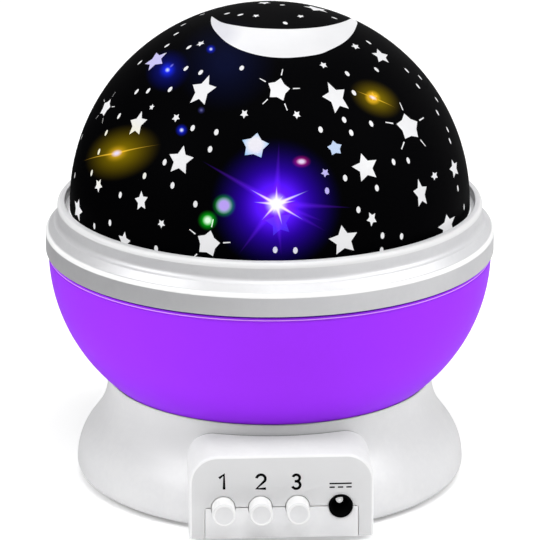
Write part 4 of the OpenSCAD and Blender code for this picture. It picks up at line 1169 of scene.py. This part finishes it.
def make_button(number, x):
    """A push button: a drum with a round rim, a flat face a little below the rim, and the flange
    behind the wall."""
    drum, flange, rim, sink = 9.2, 0.8, 0.34, 0.12
    face_r = BUTTON_R - 2 * rim
    outline = np.concatenate([
        [[0.0, -sink], [face_r - 0.12, -sink], [face_r, -sink + 0.03]],
        arc((BUTTON_R - rim, -rim), rim, 125, 0, 10),
        [[BUTTON_R, flange - drum], [BUTTON_R + flange, flange - drum],
         [BUTTON_R + flange, -drum], [0.0, -drum]],
    ])
    shell = facing_front(turned(outline, 96), x, BUTTON_TIP, ROW_Z)
    make_piece(f"button_{number}_cap", shell, WHITE_BUTTON, f"button_{number}",
               [f"button_cap_{number}"])


for number, x in enumerate(BUTTON_XS, 1):
    make_button(number, x)

# ---- Socket ----


def make_jack_rim():
    """A rounded lip over the mouth of the inlet: a small circle carried round the inlet's axis."""
    lip = (JACK_R - PLUG_R) / 2
    outline = np.concatenate([
        arc(((JACK_R + PLUG_R) / 2, 0.0), lip + 0.02, -10, 190, 15),
        [[PLUG_R - 0.02, -1.0], [JACK_R + 0.02, -1.0]],
    ])
    shell = facing_front(turned(outline, 96), JACK_X, JACK_LOW[1] + lip * 0.4, ROW_Z)
    return make_piece("jack_rim", shell, JACK_BLACK, "base")


def make_jack_pin():
    """The inlet's centre pin: a rod whose end is a half round."""
    r, long = (PIN_HIGH[0] - PIN_LOW[0]) / 2, PIN_HIGH[1] - PIN_LOW[1] - PIN_SHY
    outline = np.concatenate([arc((0.0, -r), r, 90, 0, 9), [[r, -long], [0.0, -long]]])
    shell = facing_front(turned(outline, 48), JACK_X, PIN_LOW[1] + PIN_SHY, ROW_Z)
    return make_piece("jack_pin", shell, GLINTING_PIN_STEEL, "base", ["socket_pin"])


make_jack_rim()
make_jack_pin()

# ---- Bottom cover's front tab ----


def make_tab():
    """A skin on the tab's face with an eased edge: the outline is carried forward along a quarter
    circle, then closed by a flat face."""
    proud, ease, sunk = 0.2, 0.28, 0.6
    rings = [row_section(BOX_FRONT + sunk, 0.0, False)]
    rings += [row_section(BOX_FRONT - proud * math.sin(t), ease * (1 - math.cos(t)), False)
              for t in np.radians([0, 22, 45, 67, 90])]
    wide = len(rings[0])
    points = np.concatenate(rings)
    faces = grid_faces(len(rings), wide, False, True).tolist()
    faces += [list(range(len(points) - wide, len(points))), list(range(wide - 1, -1, -1))]
    return make_piece("front_tab", (points, faces), COVER_GREY, "base")


make_tab()

# ---- Marks over the buttons and the socket ----

MARK_H, MARK_STROKE, BAR_STROKE, MARK_T = 5.0, 0.78, 0.42, 0.04
MARK_PX = [[222.8, 481.7], [260.9, 481.7], [296.4, 481.7]]
SYMBOL_PX = [340.6, 485.2]


def on_front(px):
    """The place (x, z) on the control box's front plane under a frame point."""
    ray = rays(px)[0]
    return (EYE + ray * (BOX_FRONT - EYE[1]) / ray[1])[[0, 2]]


def stroke(path, width):
    """Outline of a pen stroke: the path moved half the width to its left, and back on its right.
    At a bend both sides move along its bisector."""
    p = np.asarray(path, float)
    d = np.diff(p, axis=0)
    d /= np.linalg.norm(d, axis=1, keepdims=True)
    n = np.stack([-d[:, 1], d[:, 0]], 1)
    before, after = np.concatenate([n[:1], n]), np.concatenate([n, n[-1:]])
    mid = before + after
    mid *= 1 / np.maximum((mid * before).sum(1, keepdims=True), 0.75)
    side = mid * width / 2
    return np.concatenate([p + side, (p - side)[::-1]])


def make_mark(name, strokes, centre):
    """Strokes printed on the front: together they are one thin sheet that stands on the face."""
    shells = [cut_sheet(line + centre, [], np.zeros((0, 2)),
                        lambda flat, depth: standing(flat, BOX_FRONT - MARK_T * (1 - depth)))
              for line in strokes]
    return make_piece(name, joined(*shells), INK, "base")


def make_marks():
    """Numerals 1, 2 and 3 over the buttons, and over the socket the plain sign for direct current:
    a line above three dashes. The bows of the 3 are two circles that meet a little above the middle."""
    top, foot = MARK_H / 2 - MARK_STROKE / 2, -MARK_H / 2 + MARK_STROKE / 2
    bow = 0.235 * (top - foot)
    belly = (top - foot) / 2 - bow
    waist = top - 2 * bow
    one = [[[-1.05, top - 1.05], [0.35, top], [0.35, foot - 0.25]]]
    two = [np.concatenate([arc((0.0, top - 1.25), 1.25, 170, -35, 10), [[-1.3, foot], [1.45, foot]]])]
    three = [np.concatenate([arc((-0.05, top - bow), bow, 160, -90, 10), [[-0.5, waist]]]),
             np.concatenate([[[-0.3, waist]], arc((-0.05, foot + belly), belly, 88, -160, 10)])]
    for number, lines, px in zip((1, 2, 3), (one, two, three), MARK_PX):
        make_mark(f"mark_{number}", [stroke(line, MARK_STROKE) for line in lines], on_front(px))
    half, dash, gap, line_z = 3.15, 0.75, 2.4, 0.55
    bars = [[[-half, line_z], [half, line_z]]]
    bars += [[[x - dash, -line_z], [x + dash, -line_z]] for x in (-gap, 0.0, gap)]
    make_mark("mark_direct_current", [stroke(line, BAR_STROKE) for line in bars], on_front(SYMBOL_PX))


make_marks()

# ---- Floor and light ----

LIGHTS = {  # place and side of the square in metres, power in watts
    "top_light": ((0.0, 0.0, 1.4), 1.2, 4.4),
    "front_light": ((0.1, -0.62, 1.35), 0.7, 7.2),
    "left_light": ((-1.1, -0.35, 0.9), 0.6, 9.6),
    "right_light": ((1.1, -0.35, 0.9), 0.6, 9.0),
    "back_light": ((0.0, 1.0, 1.2), 0.8, 5.0),
}
LIGHT_AIM = (0.0, 0.0, 0.05)
FLOOR_HALF = 3.0  # in metres


def make_floor():
    """A plain pale floor, clear from below so that the underside can be looked at. In mirror images
    it is dark on the left and grey on the right."""
    points = [[x * FLOOR_HALF, y * FLOOR_HALF, 0.0] for x, y in ((-1, -1), (1, -1), (1, 1), (-1, 1))]
    mesh = bpy.data.meshes.new("floor")
    mesh.from_pydata(points, [], [[0, 1, 2, 3]])
    material, tree, surface = new_finish("studio_floor", Roughness=0.9, Specular_IOR_Level=0.1,
                                         Emission_Strength=0.21)
    mirrored = wire(tree, "LightPath").outputs["Is Glossy Ray"]
    dusk = blend(tree, ramp(tree, object_along(tree, "X"), -0.3, 0.08),
                 (0.03, 0.03, 0.03, 1.0), (0.62, 0.62, 0.62, 1.0))
    paper = place(tree, TONE, {"Tone": (0.95, 0.95, 0.95, 1.0), "Drift": 0.005})["Color"]
    below = wire(tree, "NewGeometry").outputs["Backfacing"]
    lay(tree, surface, Alpha=maths(tree, "SUBTRACT", 1.0, below),
        Base_Color=blend(tree, mirrored, paper, dusk),
        Emission_Color=blend(tree, mirrored, (1.0, 1.0, 1.0, 1.0), (0.0, 0.0, 0.0, 1.0)))
    mesh.materials.append(material)
    add_object("floor", mesh)


def make_sky():
    """Faint even light from all round. In mirror images it grows evenly brighter towards +X."""
    world = bpy.data.worlds.new("studio")
    bpy.context.scene.world = world
    world.use_nodes = True
    sky, background = world.node_tree, world.node_tree.nodes["Background"]
    way = wire(sky, "TexCoord").outputs["Generated"]
    across = wire(sky, "SeparateXYZ", {"Vector": way}).outputs["X"]
    mirrored = wire(sky, "LightPath").outputs["Is Glossy Ray"]
    wall = maths(sky, "MULTIPLY", mirrored, ramp(sky, across, -0.8, 0.6, "LINEAR"))
    sky.links.new(maths(sky, "MULTIPLY_ADD", wall, 0.7, 0.1), background.inputs["Strength"])
    background.inputs["Color"].default_value = (1.0, 1.0, 1.0, 1.0)


def soft_light(name, place_at, side, power):
    """A square lamp that looks at LIGHT_AIM."""
    data = bpy.data.lights.new(name, "AREA")
    data.shape, data.size, data.size_y = "RECTANGLE", side, side
    data.energy = power
    light = add_object(name, data)
    light.location = place_at
    light.rotation_mode = "QUATERNION"
    light.rotation_quaternion = (Vector(LIGHT_AIM) - Vector(place_at)).to_track_quat("-Z", "Y")


make_floor()
make_sky()
for name, row in LIGHTS.items():
    soft_light(name, *row)
bpy.context.scene.view_settings.view_transform = "Standard"
